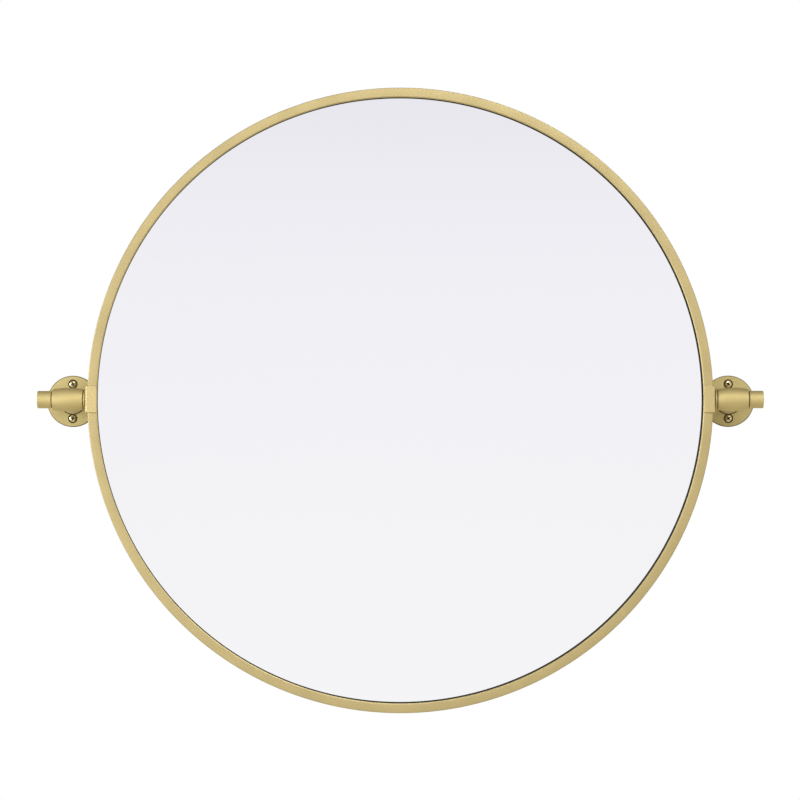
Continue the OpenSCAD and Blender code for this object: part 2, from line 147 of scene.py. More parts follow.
class Bench:
    """Blender's modelling operators, for one piece at a time."""

    WELD = MM / 1000

    @staticmethod
    def only(*pieces: Piece) -> None:
        """Selects these pieces alone, and makes the first one active.

        Args:
            *pieces: The pieces, or none to select nothing.
        """
        bpy.ops.object.select_all(action="DESELECT")
        for piece in pieces:
            piece.select_set(True)
        if pieces:
            bpy.context.view_layer.objects.active = pieces[0]

    @staticmethod
    @contextmanager
    def editing(piece: Piece) -> Iterator[None]:
        """Opens one piece in edit mode with all of it selected, and leaves edit mode afterwards.

        Args:
            piece: The piece to edit.

        Yields:
            Nothing, while the piece is open.
        """
        Bench.only(piece)
        bpy.ops.object.mode_set(mode="EDIT")
        bpy.ops.mesh.select_mode(type="VERT")
        bpy.ops.mesh.select_all(action="SELECT")
        yield
        bpy.ops.object.mode_set(mode="OBJECT")

    @staticmethod
    def settle(piece: Piece, name: str) -> Piece:
        """Names a new piece and puts its place into its mesh.

        Args:
            piece: The new piece.
            name: Name of its object and mesh.

        Returns:
            The same piece, which now stands at the origin.
        """
        piece.name = name
        piece.data.name = name
        Bench.only(piece)
        bpy.ops.object.transform_apply(location=True, rotation=True, scale=True)
        return piece

    @staticmethod
    def discard(piece: Piece) -> None:
        """Deletes a piece."""
        Bench.only(piece)
        bpy.ops.object.delete()

    @staticmethod
    def join(*pieces: Piece) -> None:
        """Joins pieces into the first of them."""
        Bench.only(*pieces)
        bpy.ops.object.join()

    @staticmethod
    def coat(piece: Piece, *finishes: "Finish") -> None:
        """Adds the materials of finishes to a piece, in their order."""
        for finish in finishes:
            piece.data.materials.append(finish.material())

    @staticmethod
    def pick(piece: Piece, faces: VectorTest) -> None:
        """Selects, in edit mode, the faces that pass a test.

        Args:
            piece: The piece, open in edit mode.
            faces: Test on a face's middle and normal.
        """
        bpy.ops.mesh.select_mode(type="FACE")
        bpy.ops.mesh.select_all(action="DESELECT")
        mesh = bmesh.from_edit_mesh(piece.data)
        for face in mesh.faces:
            if faces(face.calc_center_median(), face.normal):
                face.select_set(True)
        bmesh.update_edit_mesh(piece.data)

    @staticmethod
    def pick_edges(piece: Piece, edges: VectorTest) -> None:
        """Selects, in edit mode, the edges whose two ends pass a test.

        Args:
            piece: The piece, open in edit mode.
            edges: Test on an edge's two ends.
        """
        bpy.ops.mesh.select_mode(type="EDGE")
        bpy.ops.mesh.select_all(action="DESELECT")
        mesh = bmesh.from_edit_mesh(piece.data)
        for edge in mesh.edges:
            if edges(edge.verts[0].co, edge.verts[1].co):
                edge.select_set(True)
        bmesh.update_edit_mesh(piece.data)

    @staticmethod
    def paint(piece: Piece, index: int, faces: VectorTest) -> None:
        """Gives one of the piece's materials to the faces that pass a test.

        Args:
            piece: The piece, which has its materials.
            index: Place of the material in the piece's list.
            faces: Test on a face's middle and normal.
        """
        with Bench.editing(piece):
            Bench.pick(piece, faces)
            piece.active_material_index = index
            bpy.ops.object.material_slot_assign()

    @staticmethod
    def draw(name: str, places: Sequence[Vector], closed: bool) -> Piece:
        """Draws a chain of edges: a small plane is merged to a point, which is extruded from place to place.

        Args:
            name: Name of the new piece.
            places: The chain's points in the frame.
            closed: Whether the last point joins the first.

        Returns:
            The new piece, which has edges and no faces.
        """
        Bench.only()
        bpy.ops.mesh.primitive_plane_add(size=MM, location=places[0])
        piece = Bench.settle(bpy.context.object, name)
        route = [*places, places[0]] if closed else list(places)
        with Bench.editing(piece):
            bpy.ops.mesh.merge(type="CENTER")
            for here, there in zip(route, route[1:]):
                bpy.ops.mesh.extrude_region_move(TRANSFORM_OT_translate={"value": there - here})
            bpy.ops.mesh.select_all(action="SELECT")
            bpy.ops.mesh.remove_doubles(threshold=Bench.WELD)
        return piece

    @staticmethod
    def turn(name: str, outline: Outline, spindle: Spindle, steps: int, closed: bool = True) -> Piece:
        """Turns an outline a full turn round a spindle.

        Args:
            name: Name of the new piece.
            outline: Half section of the piece.
            spindle: Line that the piece is round.
            steps: Number of steps in the full turn.
            closed: False where the outline starts and ends on the spindle.

        Returns:
            The new, closed piece.
        """
        piece = Bench.draw(name, [spindle.place(point) for point in outline.points], closed)
        with Bench.editing(piece):
            bpy.ops.mesh.spin(steps=steps, angle=FULL_TURN, center=spindle.centre, axis=spindle.along)
        Bench.weld(piece)
        return piece

    @staticmethod
    def fold(name: str, places: Sequence[Vector], push: Vector) -> Piece:
        """Fills a closed outline and extrudes it to a solid.

        Args:
            name: Name of the new piece.
            places: The outline's points in the frame.
            push: How far, and which way, the outline is extruded.

        Returns:
            The new, closed piece.
        """
        piece = Bench.draw(name, places, closed=True)
        with Bench.editing(piece):
            bpy.ops.mesh.edge_face_add()
            bpy.ops.mesh.extrude_region_move(TRANSFORM_OT_translate={"value": push})
        Bench.weld(piece)
        return piece

    @staticmethod
    def block(name: str, low: Vector, high: Vector) -> Piece:
        """Adds a cube between two corners.

        Args:
            name: Name of the new piece.
            low: Its lowest corner.
            high: Its highest corner.

        Returns:
            The block.
        """
        Bench.only()
        bpy.ops.mesh.primitive_cube_add(size=1, location=(low + high) / 2, scale=high - low)
        return Bench.settle(bpy.context.object, name)

    @staticmethod
    def rod(name: str, radius: float, length: float, sides: int, middle: Vector) -> Piece:
        """Adds a cylinder that lies along Y.

        Args:
            name: Name of the new piece.
            radius: Its radius.
            length: Its length.
            sides: Number of its sides.
            middle: Where its middle lies.

        Returns:
            The rod.
        """
        Bench.only()
        bpy.ops.mesh.primitive_cylinder_add(
            vertices=sides, radius=radius, depth=length, location=middle, rotation=(QUARTER_TURN, 0, 0)
        )
        return Bench.settle(bpy.context.object, name)

    @staticmethod
    def weld(piece: Piece) -> None:
        """Merges doubled points and turns all faces outwards.

        Args:
            piece: The piece to weld.
        """
        with Bench.editing(piece):
            bpy.ops.mesh.remove_doubles(threshold=Bench.WELD)
            bpy.ops.mesh.normals_make_consistent(inside=False)

    @staticmethod
    def modify(piece: Piece, kind: str, **settings: object) -> None:
        """Adds a modifier with these settings and applies it.

        Args:
            piece: The piece to change.
            kind: Blender's name of the modifier's type.
            **settings: The modifier's own settings.
        """
        Bench.only(piece)
        bpy.ops.object.modifier_add(type=kind)
        modifier = piece.modifiers[-1]
        for key, value in settings.items():
            setattr(modifier, key, value)
        bpy.ops.object.modifier_apply(modifier=modifier.name)

    @staticmethod
    def combine(piece: Piece, operation: str, *others: Piece) -> None:
        """Combines a piece with each of the others in turn, and deletes them.

        Args:
            piece: The piece that is kept.
            operation: "DIFFERENCE" to cut the others out, or "UNION" to make one solid with them.
            *others: The other pieces.
        """
        for other in others:
            Bench.modify(piece, "BOOLEAN", operation=operation, solver="EXACT", object=other)
            Bench.discard(other)

    @staticmethod
    def cut(piece: Piece, *cutters: Piece) -> None:
        """Cuts each cutter out of a piece, and deletes the cutter."""
        Bench.combine(piece, "DIFFERENCE", *cutters)

    @staticmethod
    def helix(name: str, ridge: Outline, spindle: Spindle, pitch: float, turns: int, steps: int = 32) -> Piece:
        """Winds a ridge of right-handed thread and closes its two ends.

        Args:
            name: Name of the new piece.
            ridge: Section of the ridge where it starts.
            spindle: Line that it winds round, through the origin and along an axis of the frame.
            pitch: How far the thread moves on in a turn.
            turns: Number of turns.
            steps: Number of steps in a turn.

        Returns:
            The new, closed piece.
        """
        thread = Bench.draw(name, [spindle.place(point) for point in ridge.points], closed=True)
        axis = max("XYZ", key=lambda letter: abs(spindle.along["XYZ".index(letter)]))
        Bench.modify(
            thread, "SCREW", axis=axis, angle=FULL_TURN, screw_offset=pitch, iterations=turns, steps=steps,
            render_steps=steps, use_merge_vertices=False,
        )
        with Bench.editing(thread):
            bpy.ops.mesh.remove_doubles(threshold=Bench.WELD)
            bpy.ops.mesh.select_all(action="DESELECT")
            bpy.ops.mesh.select_mode(type="EDGE")
            bpy.ops.mesh.select_non_manifold()
            bpy.ops.mesh.edge_face_add()
        Bench.weld(thread)
        return thread

    @staticmethod
    def soften(piece: Piece, width: float, segments: int = 2, angle: float = 50) -> None:
        """Rounds every edge that is sharper than an angle, in degrees.

        Args:
            piece: The piece to soften.
            width: How far the rounding reaches from the edge.
            segments: Number of its flats.
            angle: Sharpest angle that stays as it is.
        """
        Bench.modify(
            piece, "BEVEL", width=width, segments=segments, limit_method="ANGLE", angle_limit=math.radians(angle)
        )

    @staticmethod
    def placed(pattern: Piece, name: str, place: Matrix) -> Piece:
        """Copies a pattern to a place.

        Args:
            pattern: The piece that is copied, which stands at the origin.
            name: Name of the copy.
            place: Where the copy goes.

        Returns:
            The copy, with its place in its mesh.
        """
        Bench.only(pattern)
        bpy.ops.object.duplicate()
        copy = bpy.context.object
        copy.matrix_world = place
        return Bench.settle(copy, name)

    @staticmethod
    def copies(pattern: Piece, name: str, places: Sequence[Matrix]) -> Piece:
        """Copies a pattern to each place, joins the copies into one piece and deletes the pattern.

        Args:
            pattern: The piece that is copied.
            name: Name of the new piece.
            places: Where each copy goes.

        Returns:
            The copies, as one piece.
        """
        made = [Bench.placed(pattern, name, place) for place in places]
        Bench.discard(pattern)
        Bench.join(*made)
        return Bench.settle(made[0], name)

    @staticmethod
    def mirrored(piece: Piece, name: str) -> Piece:
        """Copies a piece to the other side of the plane x = 0, with its normals turned outwards again.

        Args:
            piece: The piece on the right.
            name: Name of the copy.

        Returns:
            The copy on the left.
        """
        Bench.only(piece)
        bpy.ops.object.duplicate()
        copy = bpy.context.object
        copy.scale.x = -1
        Bench.settle(copy, name)
        Bench.weld(copy)
        return copy

    @staticmethod
    def smooth(piece: Piece, angle: float = SMOOTH_DEG) -> None:
        """Shades a piece smooth up to an angle, in degrees, with its flats kept flat.

        Args:
            piece: The piece to shade.
            angle: Sharpest angle that is shaded smooth.
        """
        Bench.only(piece)
        bpy.ops.object.shade_smooth_by_angle(angle=math.radians(angle))
        Bench.modify(piece, "WEIGHTED_NORMAL", keep_sharp=True)

    @staticmethod
    def open_edges(piece: Piece) -> int:
        """Counts the edges that don't lie between exactly two faces."""
        faces_at = Counter(key for face in piece.data.polygons for key in face.edge_keys)
        return sum(count != 2 for count in faces_at.values())


# ---------- finishes ----------


class Graph:
    """The node tree of a material or a world, with short ways to add nodes."""

    NOISE_MIDDLE: Point = (0.3, 0.7)

    def __init__(self, tree: bpy.types.NodeTree) -> None:
        """Takes over a tree and empties it.

        Args:
            tree: The node tree of a material or a world.
        """
        self.tree = tree
        tree.nodes.clear()

    def node(self, kind: str, **settings: object) -> bpy.types.Node:
        """Adds a node of a kind and sets its properties.

        Args:
            kind: Blender's name of the node's type.
            **settings: The node's own properties.

        Returns:
            The new node.
        """
        node = self.tree.nodes.new(kind)
        for key, value in settings.items():
            setattr(node, key, value)
        return node

    def feed(self, socket: Socket, value: object) -> None:
        """Links a socket to another, or sets it where the value is a plain one.

        Args:
            socket: The socket to feed.
            value: Another node's output, or a number, vector or colour.
        """
        if isinstance(value, Socket):
            self.tree.links.new(value, socket)
        else:
            socket.default_value = value

    def fill(self, sockets: Sequence[Socket], values: Sequence[object]) -> None:
        """Feeds sockets in turn, as far as there are values."""
        for socket, value in zip(sockets, values):
            self.feed(socket, value)

    def math(self, operation: str, *values: object) -> Socket:
        """Adds a Math node.

        Args:
            operation: Blender's name of what it does.
            *values: Up to three numbers or links.

        Returns:
            Its result.
        """
        node = self.node("ShaderNodeMath", operation=operation)
        self.fill(node.inputs, values)
        return node.outputs[0]

    def noise(self, vector: Socket, scale: float, detail: float = 2.0) -> Socket:
        """Adds a noise texture.

        Args:
            vector: Where the noise is read.
            scale: How many of its waves go into a metre.
            detail: How many finer waves lie on top of them.

        Returns:
            Its factor.
        """
        node = self.node("ShaderNodeTexNoise")
        self.feed(node.inputs["Vector"], vector)
        node.inputs["Scale"].default_value = scale
        node.inputs["Detail"].default_value = detail
        return node.outputs["Fac"]

    def stretch(self, value: Socket, source: Point, target: Point, kind: str = "LINEAR") -> Socket:
        """Maps one range of numbers to another.

        Args:
            value: The number to map.
            source: Ends of the range that it comes from.
            target: Ends of the range that it goes to.
            kind: Blender's name of the way between the ends.

        Returns:
            The mapped number.
        """
        node = self.node("ShaderNodeMapRange", interpolation_type=kind)
        self.fill(node.inputs, (value, *source, *target))
        return node.outputs[0]

    def span(self, value: Socket, low: float, high: float) -> Socket:
        """Maps the middle of a noise, where most of its values lie, to a range."""
        return self.stretch(value, self.NOISE_MIDDLE, (low, high))

    def blend_value(self, factor: object, first: object, second: object) -> Socket:
        """Mixes two numbers.

        Args:
            factor: 0 for the first and 1 for the second.
            first: The first number.
            second: The second number.

        Returns:
            The mixed number.
        """
        node = self.node("ShaderNodeMix", data_type="FLOAT")
        self.fill(node.inputs[0:1] + node.inputs[2:4], (factor, first, second))
        return node.outputs[0]

    def blend(self, factor: object, first: object, second: object) -> Socket:
        """Mixes two colours.

        Args:
            factor: 0 for the first and 1 for the second.
            first: The first colour.
            second: The second colour.

        Returns:
            The mixed colour.
        """
        node = self.node("ShaderNodeMix", data_type="RGBA")
        self.fill(node.inputs[0:1] + node.inputs[6:8], (factor, first, second))
        return node.outputs[2]

    def blend_shader(self, factor: Socket, first: Socket, second: Socket) -> Socket:
        """Mixes two shaders.

        Args:
            factor: 0 for the first and 1 for the second.
            first: The first shader.
            second: The second shader.

        Returns:
            The mixed shader.
        """
        node = self.node("ShaderNodeMixShader")
        self.fill(node.inputs, (factor, first, second))
        return node.outputs[0]

    def clouded(self, noise: Socket, colour: Colour, dark: float, light: float) -> Socket:
        """A colour that a noise makes darker and lighter, by two factors."""
        return self.blend(self.span(noise, 0.0, 1.0), shade(colour, dark), shade(colour, light))

    def bump(self, height: Socket, depth: float) -> Socket:
        """Adds a bump.

        Args:
            height: Height of the surface, from 0 to 1.
            depth: Depth of the bump in metres.

        Returns:
            The bent normal.
        """
        node = self.node("ShaderNodeBump")
        node.inputs["Strength"].default_value = 1.0
        node.inputs["Distance"].default_value = depth
        self.feed(node.inputs["Height"], height)
        return node.outputs["Normal"]


def reach(node: str) -> float:
    """Radius of a round node of the mirror, a hair less than its box on all sides."""
    low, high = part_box(node)
    return min(high.x, high.z, -low.x, -low.z) - HAIR


def shade(colour: Colour, factor: float) -> tuple[float, float, float, float]:
    """A colour made lighter or darker, with its alpha."""
    return (colour[0] * factor, colour[1] * factor, colour[2] * factor, 1.0)


class Grain(Enum):
    """Which way the fine lines of a metal run."""

    ROUND_FRAME = "round the middle of the mirror"
    ROUND_PIVOT = "round the pivot axis"
    ROUND_POST = "round the axis of each post"
    UPRIGHT = "straight up"


@dataclass(frozen=True)
class Finish:
    """What every finish has: its name and the name of its material slot."""

    name: str
    slot: str

    def material(self) -> bpy.types.Material:
        """The finish's material, made when it is first asked for.

        Returns:
            The material.
        """
        ready = bpy.data.materials.get(self.name)
        if ready:
            return ready
        made = bpy.data.materials.new(self.name)
        made.use_nodes = True
        self.wire(Graph(made.node_tree))
        return made

    def wire(self, graph: Graph) -> None:
        """Fills the material's node tree."""
        raise NotImplementedError

    @staticmethod
    def surface(graph: Graph, **sockets: object) -> None:
        """Adds the shader and its output.

        Args:
            graph: Node tree to add them to.
            **sockets: Values or links for the shader's sockets, with underscores for the spaces in their names.
        """
        shader = graph.node("ShaderNodeBsdfPrincipled")
        output = graph.node("ShaderNodeOutputMaterial")
        for key, value in sockets.items():
            graph.feed(shader.inputs[key.replace("_", " ")], value)
        graph.tree.links.new(shader.outputs[0], output.inputs["Surface"])

    @staticmethod
    def place(graph: Graph) -> Socket:
        """The object coordinates, which are the frame's own."""
        return graph.node("ShaderNodeTexCoord").outputs["Object"]


@dataclass(frozen=True)
class SatinMetal(Finish):
    """Brushed metal: fine lines along the grain, over slow changes of tone."""

    colour: Colour
    grain: Grain
    rough_low: float = 0.30
    rough_high: float = 0.40
    tone: float = 0.05
    line_pitch: float = 0.25 * MM
    line_depth: float = 0.001 * MM
    line_detail: float = 3.0
    line_share: float = 0.6
    line_dark: float = 0.55
    line_strength: float = 0.10
    upright_stretch: float = 0.02
    cloud_scale: float = 38.0
    cloud_detail: float = 3.0

    def across(self, graph: Graph) -> Socket:
        """A vector that changes fast across the grain and hardly along it.

        Args:
            graph: The material's node tree.

        Returns:
            The vector.
        """
        parts = graph.node("ShaderNodeSeparateXYZ")
        graph.feed(parts.inputs[0], self.place(graph))
        x, y, z = parts.outputs
        pivot_y = graph.math("ADD", y, -PivotPlaces.axis_y())
        if self.grain is Grain.ROUND_FRAME:
            lines = (self.radius(graph, x, z), y)
        elif self.grain is Grain.ROUND_PIVOT:
            lines = (x, self.radius(graph, pivot_y, z))
        elif self.grain is Grain.ROUND_POST:
            lines = (self.radius(graph, graph.math("SUBTRACT", graph.math("ABSOLUTE", x), PivotPlaces.post_x()), z), y)
        else:
            lines = (x, y)
        vector = graph.node("ShaderNodeCombineXYZ")
        graph.fill(vector.inputs, lines)
        if self.grain is Grain.UPRIGHT:
            graph.feed(vector.inputs[2], graph.math("MULTIPLY", z, self.upright_stretch))
        return vector.outputs[0]

    @staticmethod
    def radius(graph: Graph, a: Socket, b: Socket) -> Socket:
        """Distance from the line where both coordinates are nought."""
        squares = graph.math("ADD", graph.math("MULTIPLY", a, a), graph.math("MULTIPLY", b, b))
        return graph.math("SQRT", squares)

    def wire(self, graph: Graph) -> None:
        """Fills the material's node tree.

        Args:
            graph: The material's node tree, which is empty.
        """
        lines = graph.noise(self.across(graph), 1 / self.line_pitch, self.line_detail)
        clouds = graph.noise(self.place(graph), self.cloud_scale, self.cloud_detail)
        speckle = graph.noise(self.place(graph), 1 / self.line_pitch)
        worn = graph.clouded(clouds, self.colour, 1.0 - self.tone, 1.0 + self.tone)
        brushed = graph.blend(graph.span(lines, 0.0, self.line_strength), worn, shade(self.colour, self.line_dark))
        mixed = graph.math(
            "ADD",
            graph.math("MULTIPLY", lines, self.line_share),
            graph.math("MULTIPLY", speckle, 1.0 - self.line_share),
        )
        self.surface(
            graph,
            Base_Color=brushed,
            Metallic=1.0,
            Roughness=graph.span(mixed, self.rough_low, self.rough_high),
            Normal=graph.bump(mixed, self.line_depth),
        )


@dataclass(frozen=True)
class MirrorSilver(Finish):
    """Silvered glass, with the faintest change of tint across it."""

    colour: Colour
    haze_scale: float = 2.5
    haze_detail: float = 1.0
    haze_dark: float = 0.995

    def wire(self, graph: Graph) -> None:
        """Fills the material's node tree.

        Args:
            graph: The material's node tree, which is empty.
        """
        haze = graph.noise(self.place(graph), self.haze_scale, self.haze_detail)
        tint = graph.clouded(haze, self.colour, self.haze_dark, 1.0)
        self.surface(graph, Base_Color=tint, Metallic=1.0, Roughness=0.0)


@dataclass(frozen=True)
class Matt(Finish):
    """A plain matt stuff: rubber, fibre, nylon, foam or paint, with a fine uneven skin."""

    colour: Colour
    roughness: float = 0.6
    grain_size: float = 0.5 * MM
    grain_depth: float = 0.02 * MM
    contrast: float = 0.15
    skin_detail: float = 4.0

    def wire(self, graph: Graph) -> None:
        """Fills the material's node tree.

        Args:
            graph: The material's node tree, which is empty.
        """
        skin = graph.noise(self.place(graph), 1 / self.grain_size, self.skin_detail)
        tone = graph.clouded(skin, self.colour, 1.0 - self.contrast, 1.0 + self.contrast)
        self.surface(graph, Base_Color=tone, Roughness=self.roughness, Normal=graph.bump(skin, self.grain_depth))


@dataclass(frozen=True)
class Fibreboard(Finish):
    """Raw fibreboard: pressed fibres in two browns, with pale and dark flecks."""

    light: Colour
    dark: Colour
    fleck_size: float = 1.6 * MM
    fibre_detail: float = 8.0
    fibre_depth: float = 0.05 * MM
    cloud_scale: float = 9.0
    cloud_detail: float = 3.0
    cloud_dark: float = 0.9
    cloud_strength: float = 0.35
    fleck_spread: float = 0.35
    fleck_detail: float = 6.0
    fleck_from: float = 0.66
    fleck_light: float = 1.15
    roughness: float = 0.78

    def wire(self, graph: Graph) -> None:
        """Fills the material's node tree.

        Args:
            graph: The material's node tree, which is empty.
        """
        where = self.place(graph)
        fibres = graph.noise(where, 1 / self.fleck_size, self.fibre_detail)
        clouds = graph.noise(where, self.cloud_scale, self.cloud_detail)
        flecks = graph.noise(where, self.fleck_spread / self.fleck_size, self.fleck_detail)
        base = graph.blend(graph.span(fibres, 0.0, 1.0), shade(self.dark, 1.0), shade(self.light, 1.0))
        cloudy = graph.blend(graph.span(clouds, 0.0, self.cloud_strength), base, shade(self.dark, self.cloud_dark))
        chosen = graph.math("GREATER_THAN", flecks, self.fleck_from)
        specked = graph.blend(chosen, cloudy, shade(self.light, self.fleck_light))
        self.surface(graph, Base_Color=specked, Roughness=self.roughness, Normal=graph.bump(fibres, self.fibre_depth))


@dataclass(frozen=True)
class ZincSteel(Finish):
    """Zinc-plated steel: bright, with the plating's faint patches."""

    colour: Colour
    patch_scale: float = 260.0
    patch_detail: float = 3.0
    patch_dark: float = 0.86
    patch_light: float = 1.04
    rough_low: float = 0.26
    rough_high: float = 0.42
    skin_scale: float = 2600.0
    skin_depth: float = 0.004 * MM

    def wire(self, graph: Graph) -> None:
        """Fills the material's node tree.

        Args:
            graph: The material's node tree, which is empty.
        """
        where = self.place(graph)
        patches = graph.noise(where, self.patch_scale, self.patch_detail)
        skin = graph.noise(where, self.skin_scale)
        self.surface(
            graph,
            Base_Color=graph.clouded(patches, self.colour, self.patch_dark, self.patch_light),
            Metallic=1.0,
            Roughness=graph.span(patches, self.rough_low, self.rough_high),
            Normal=graph.bump(skin, self.skin_depth),
        )


# ---------- places taken from the frame ----------


class PivotPlaces:
    """Where the pivot axis and the posts lie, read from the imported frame."""

    @staticmethod
    def axis_y() -> float:
        """Depth of the pivot axis in front of the wall, as a y."""
        low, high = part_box("right_knob")
        return (low.y + high.y) / 2

    @staticmethod
    def post_x() -> float:
        """Distance of a post's axis from the middle of the mirror."""
        low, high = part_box("right_flange")
        return (low.x + high.x) / 2

    @staticmethod
    def pivot() -> Spindle:
        """The pivot axis, outwards to the right."""
        return Spindle(Vector((0, PivotPlaces.axis_y(), 0)), RIGHT, UP)

    @staticmethod
    def post() -> Spindle:
        """The right post's axis, from the wall out into the room."""
        return Spindle(Vector((PivotPlaces.post_x(), 0, 0)), FRONT, RIGHT)

    @staticmethod
    def mirror(node: str) -> Spindle:
        """The mirror's own axis, from the front of a node of it back towards the wall."""
        return Spindle(Vector((0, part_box(node)[0].y, 0)), BACK, RIGHT)


def fit(piece: Piece, body: str, finish: Finish, *nodes: str, angle: float = SMOOTH_DEG) -> Piece:
    """Smooths a new piece, dresses it, sets it on its body and reports it.

    Args:
        piece: The modelled piece.
        body: Body of the frame that it rides on.
        finish: Finish of the whole piece. A piece that has finishes already keeps them.
        *nodes: Nodes of the frame that it stands for.
        angle: Sharpest angle, in degrees, that is shaded smooth.

    Returns:
        The same piece.
    """
    Bench.smooth(piece, angle)
    if not piece.data.materials:
        Bench.coat(piece, finish)
    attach(piece, body)
    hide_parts(*nodes)
    piece.data.calc_loop_triangles()
    count, loose = len(piece.data.loop_triangles), Bench.open_edges(piece)
    LOG.info("%-24s %7d triangles, %d open edges, on %s", piece.name, count, loose, body)
    return piece


def fit_pair(piece: Piece, base: str, body: str, finish: Finish, angle: float = SMOOTH_DEG) -> None:
    """Fits a piece made for the right and its mirrored copy for the left.

    Args:
        piece: The right piece. It is renamed.
        base: Name of the nodes that the two stand for, without the side.
        body: Body, with {} for the side where each side has its own.
        finish: Finish of both.
        angle: Sharpest angle, in degrees, that is shaded smooth.
    """
    copy = Bench.mirrored(piece, Hand.LEFT.node(base) + "_piece")
    Bench.settle(piece, Hand.RIGHT.node(base) + "_piece")
    for hand, made in ((Hand.LEFT, copy), (Hand.RIGHT, piece)):
        fit(made, body.format(hand.name.lower()), finish, hand.node(base), angle=angle)


def dress(finish: Finish, *nodes: str) -> None:
    """Gives nodes of the frame that stay as they are a finish.

    Args:
        finish: Their finish.
        *nodes: Names of the nodes.
    """
    for node in nodes:
        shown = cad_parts[node]
        shown.data.materials.clear()
        Bench.coat(shown, finish)
        LOG.info("%-24s kept from the frame, in %s", node, finish.name)


# ---------- the mirror ----------


@dataclass
class MirrorFrame:
    """The rolled frame: a deep outer wall and a crowned front lip, with a square hole at each pivot."""

    finish: Finish
    face_w: float = 9.5 * MM
    wall_t: float = 1.6 * MM
    crown: float = 0.1 * MM
    corner_r: float = 0.7 * MM
    inner_slope: float = 0.75 * MM
    inner_drop: float = 0.45 * MM
    back_edge_r: float = 0.45 * MM
    neck: float = 8.2 * MM
    cutter_reach: float = 4 * MM
    crown_steps: int = 12
    corner_steps: int = 7
    edge_steps: int = 4
    steps: int = 512

    def outline(self) -> Outline:
        """Section of the frame: depth behind the front, and radius.

        Returns:
            The closed outline, from the back of the lip's inner edge round the front to the inside of the wall.
        """
        low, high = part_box("frame_ring")
        radius, depth = reach("frame_ring"), high.y - low.y
        lip_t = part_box("front_seal")[0].y - low.y
        half = self.face_w / 2
        middle = radius - half
        crown_r = (half**2 + self.crown**2) / (2 * self.crown)
        slope, outer, back = self.inner_slope, self.corner_r, self.back_edge_r
        inner_deg = math.degrees(math.asin((half - slope) / crown_r))
        outer_turn = math.asin((half - outer) / (crown_r - outer))
        outer_c = (crown_r - (crown_r - outer) * math.cos(outer_turn), middle + half - outer)
        outer_deg = math.degrees(outer_turn)
        section = Outline().to((lip_t, radius - self.face_w), (self.crown + self.inner_drop, radius - self.face_w))
        section.arc((crown_r, middle), crown_r, -inner_deg, outer_deg, self.crown_steps)
        section.arc(outer_c, outer, outer_deg, 90, self.corner_steps)
        section.arc((depth - back, radius - back), back, 90, 180, self.edge_steps)
        section.arc((depth - back, radius - self.wall_t + back), back, 180, 270, self.edge_steps)
        return section.to((lip_t, radius - self.wall_t))

    def build(self) -> None:
        """Turns the frame, cuts its two square holes and fits it."""
        ring = Bench.turn("frame_ring_piece", self.outline(), PivotPlaces.mirror("frame_ring"), self.steps)
        rim, beyond = reach("frame_ring"), self.cutter_reach
        half = self.neck / 2
        y = PivotPlaces.axis_y()
        for hand in Hand:
            inner, outer = sorted((hand.value * (rim - beyond), hand.value * (rim + beyond)))
            Bench.cut(ring, Bench.block("hole", Vector((inner, y - half, -half)), Vector((outer, y + half, half))))
        fit(ring, "mirror", self.finish, "frame_ring")


@dataclass
class Glazing:
    """The seal behind the lip and the silvered glass behind it."""

    seal: Finish
    silver: Finish
    edge: Finish
    paint: Finish
    seam: float = 0.5 * MM
    reveal: float = 1.05 * MM
    seal_shift: tuple[float, float, float] = (-0.65 * MM, 0.0, 0.25 * MM)
    inner_ring: float = 0.5
    round_steps: int = 8
    steps: int = 384

    def build_seal(self) -> None:
        """Turns the seal, a flat ring with a round inner edge that sits a little low and to the left."""
        low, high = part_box("front_seal")
        lip_r = reach("frame_ring") - MirrorFrame.face_w
        thick = high.y - low.y
        inner_r, round_r = lip_r - self.reveal, thick / 2
        axis = Spindle(Vector((0, low.y, 0)) + Vector(self.seal_shift), BACK, RIGHT)
        outline = Outline().arc((round_r, inner_r + round_r), round_r, 0, -180, self.round_steps)
        outline.to((thick, high.z - MM), (0, high.z - MM))
        fit(Bench.turn("front_seal_piece", outline, axis, self.steps), "mirror", self.seal, "front_seal")

    def build_glass(self) -> None:
        """Turns the glass, with its front silvered, its back painted and its seamed edge bare."""
        low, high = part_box("mirror_glass")
        thick, radius, seam = high.y - low.y, reach("mirror_glass"), self.seam
        ring = radius * self.inner_ring
        outline = Outline().to((0, 0), (0, ring), (0, radius - seam), (seam, radius), (thick - seam, radius))
        outline.to((thick, radius - seam), (thick, ring), (thick, 0))
        axis = PivotPlaces.mirror("mirror_glass")
        glass = Bench.turn("mirror_glass_piece", outline, axis, self.steps, closed=False)
        Bench.coat(glass, self.edge, self.silver, self.paint)
        Bench.paint(glass, 1, lambda middle, normal: normal.y < -FACING)
        Bench.paint(glass, 2, lambda middle, normal: normal.y > FACING)
        fit(glass, "mirror", self.silver, "mirror_glass", angle=20)

    def build(self) -> None:
        """Makes the seal and the glass."""
        self.build_seal()
        self.build_glass()


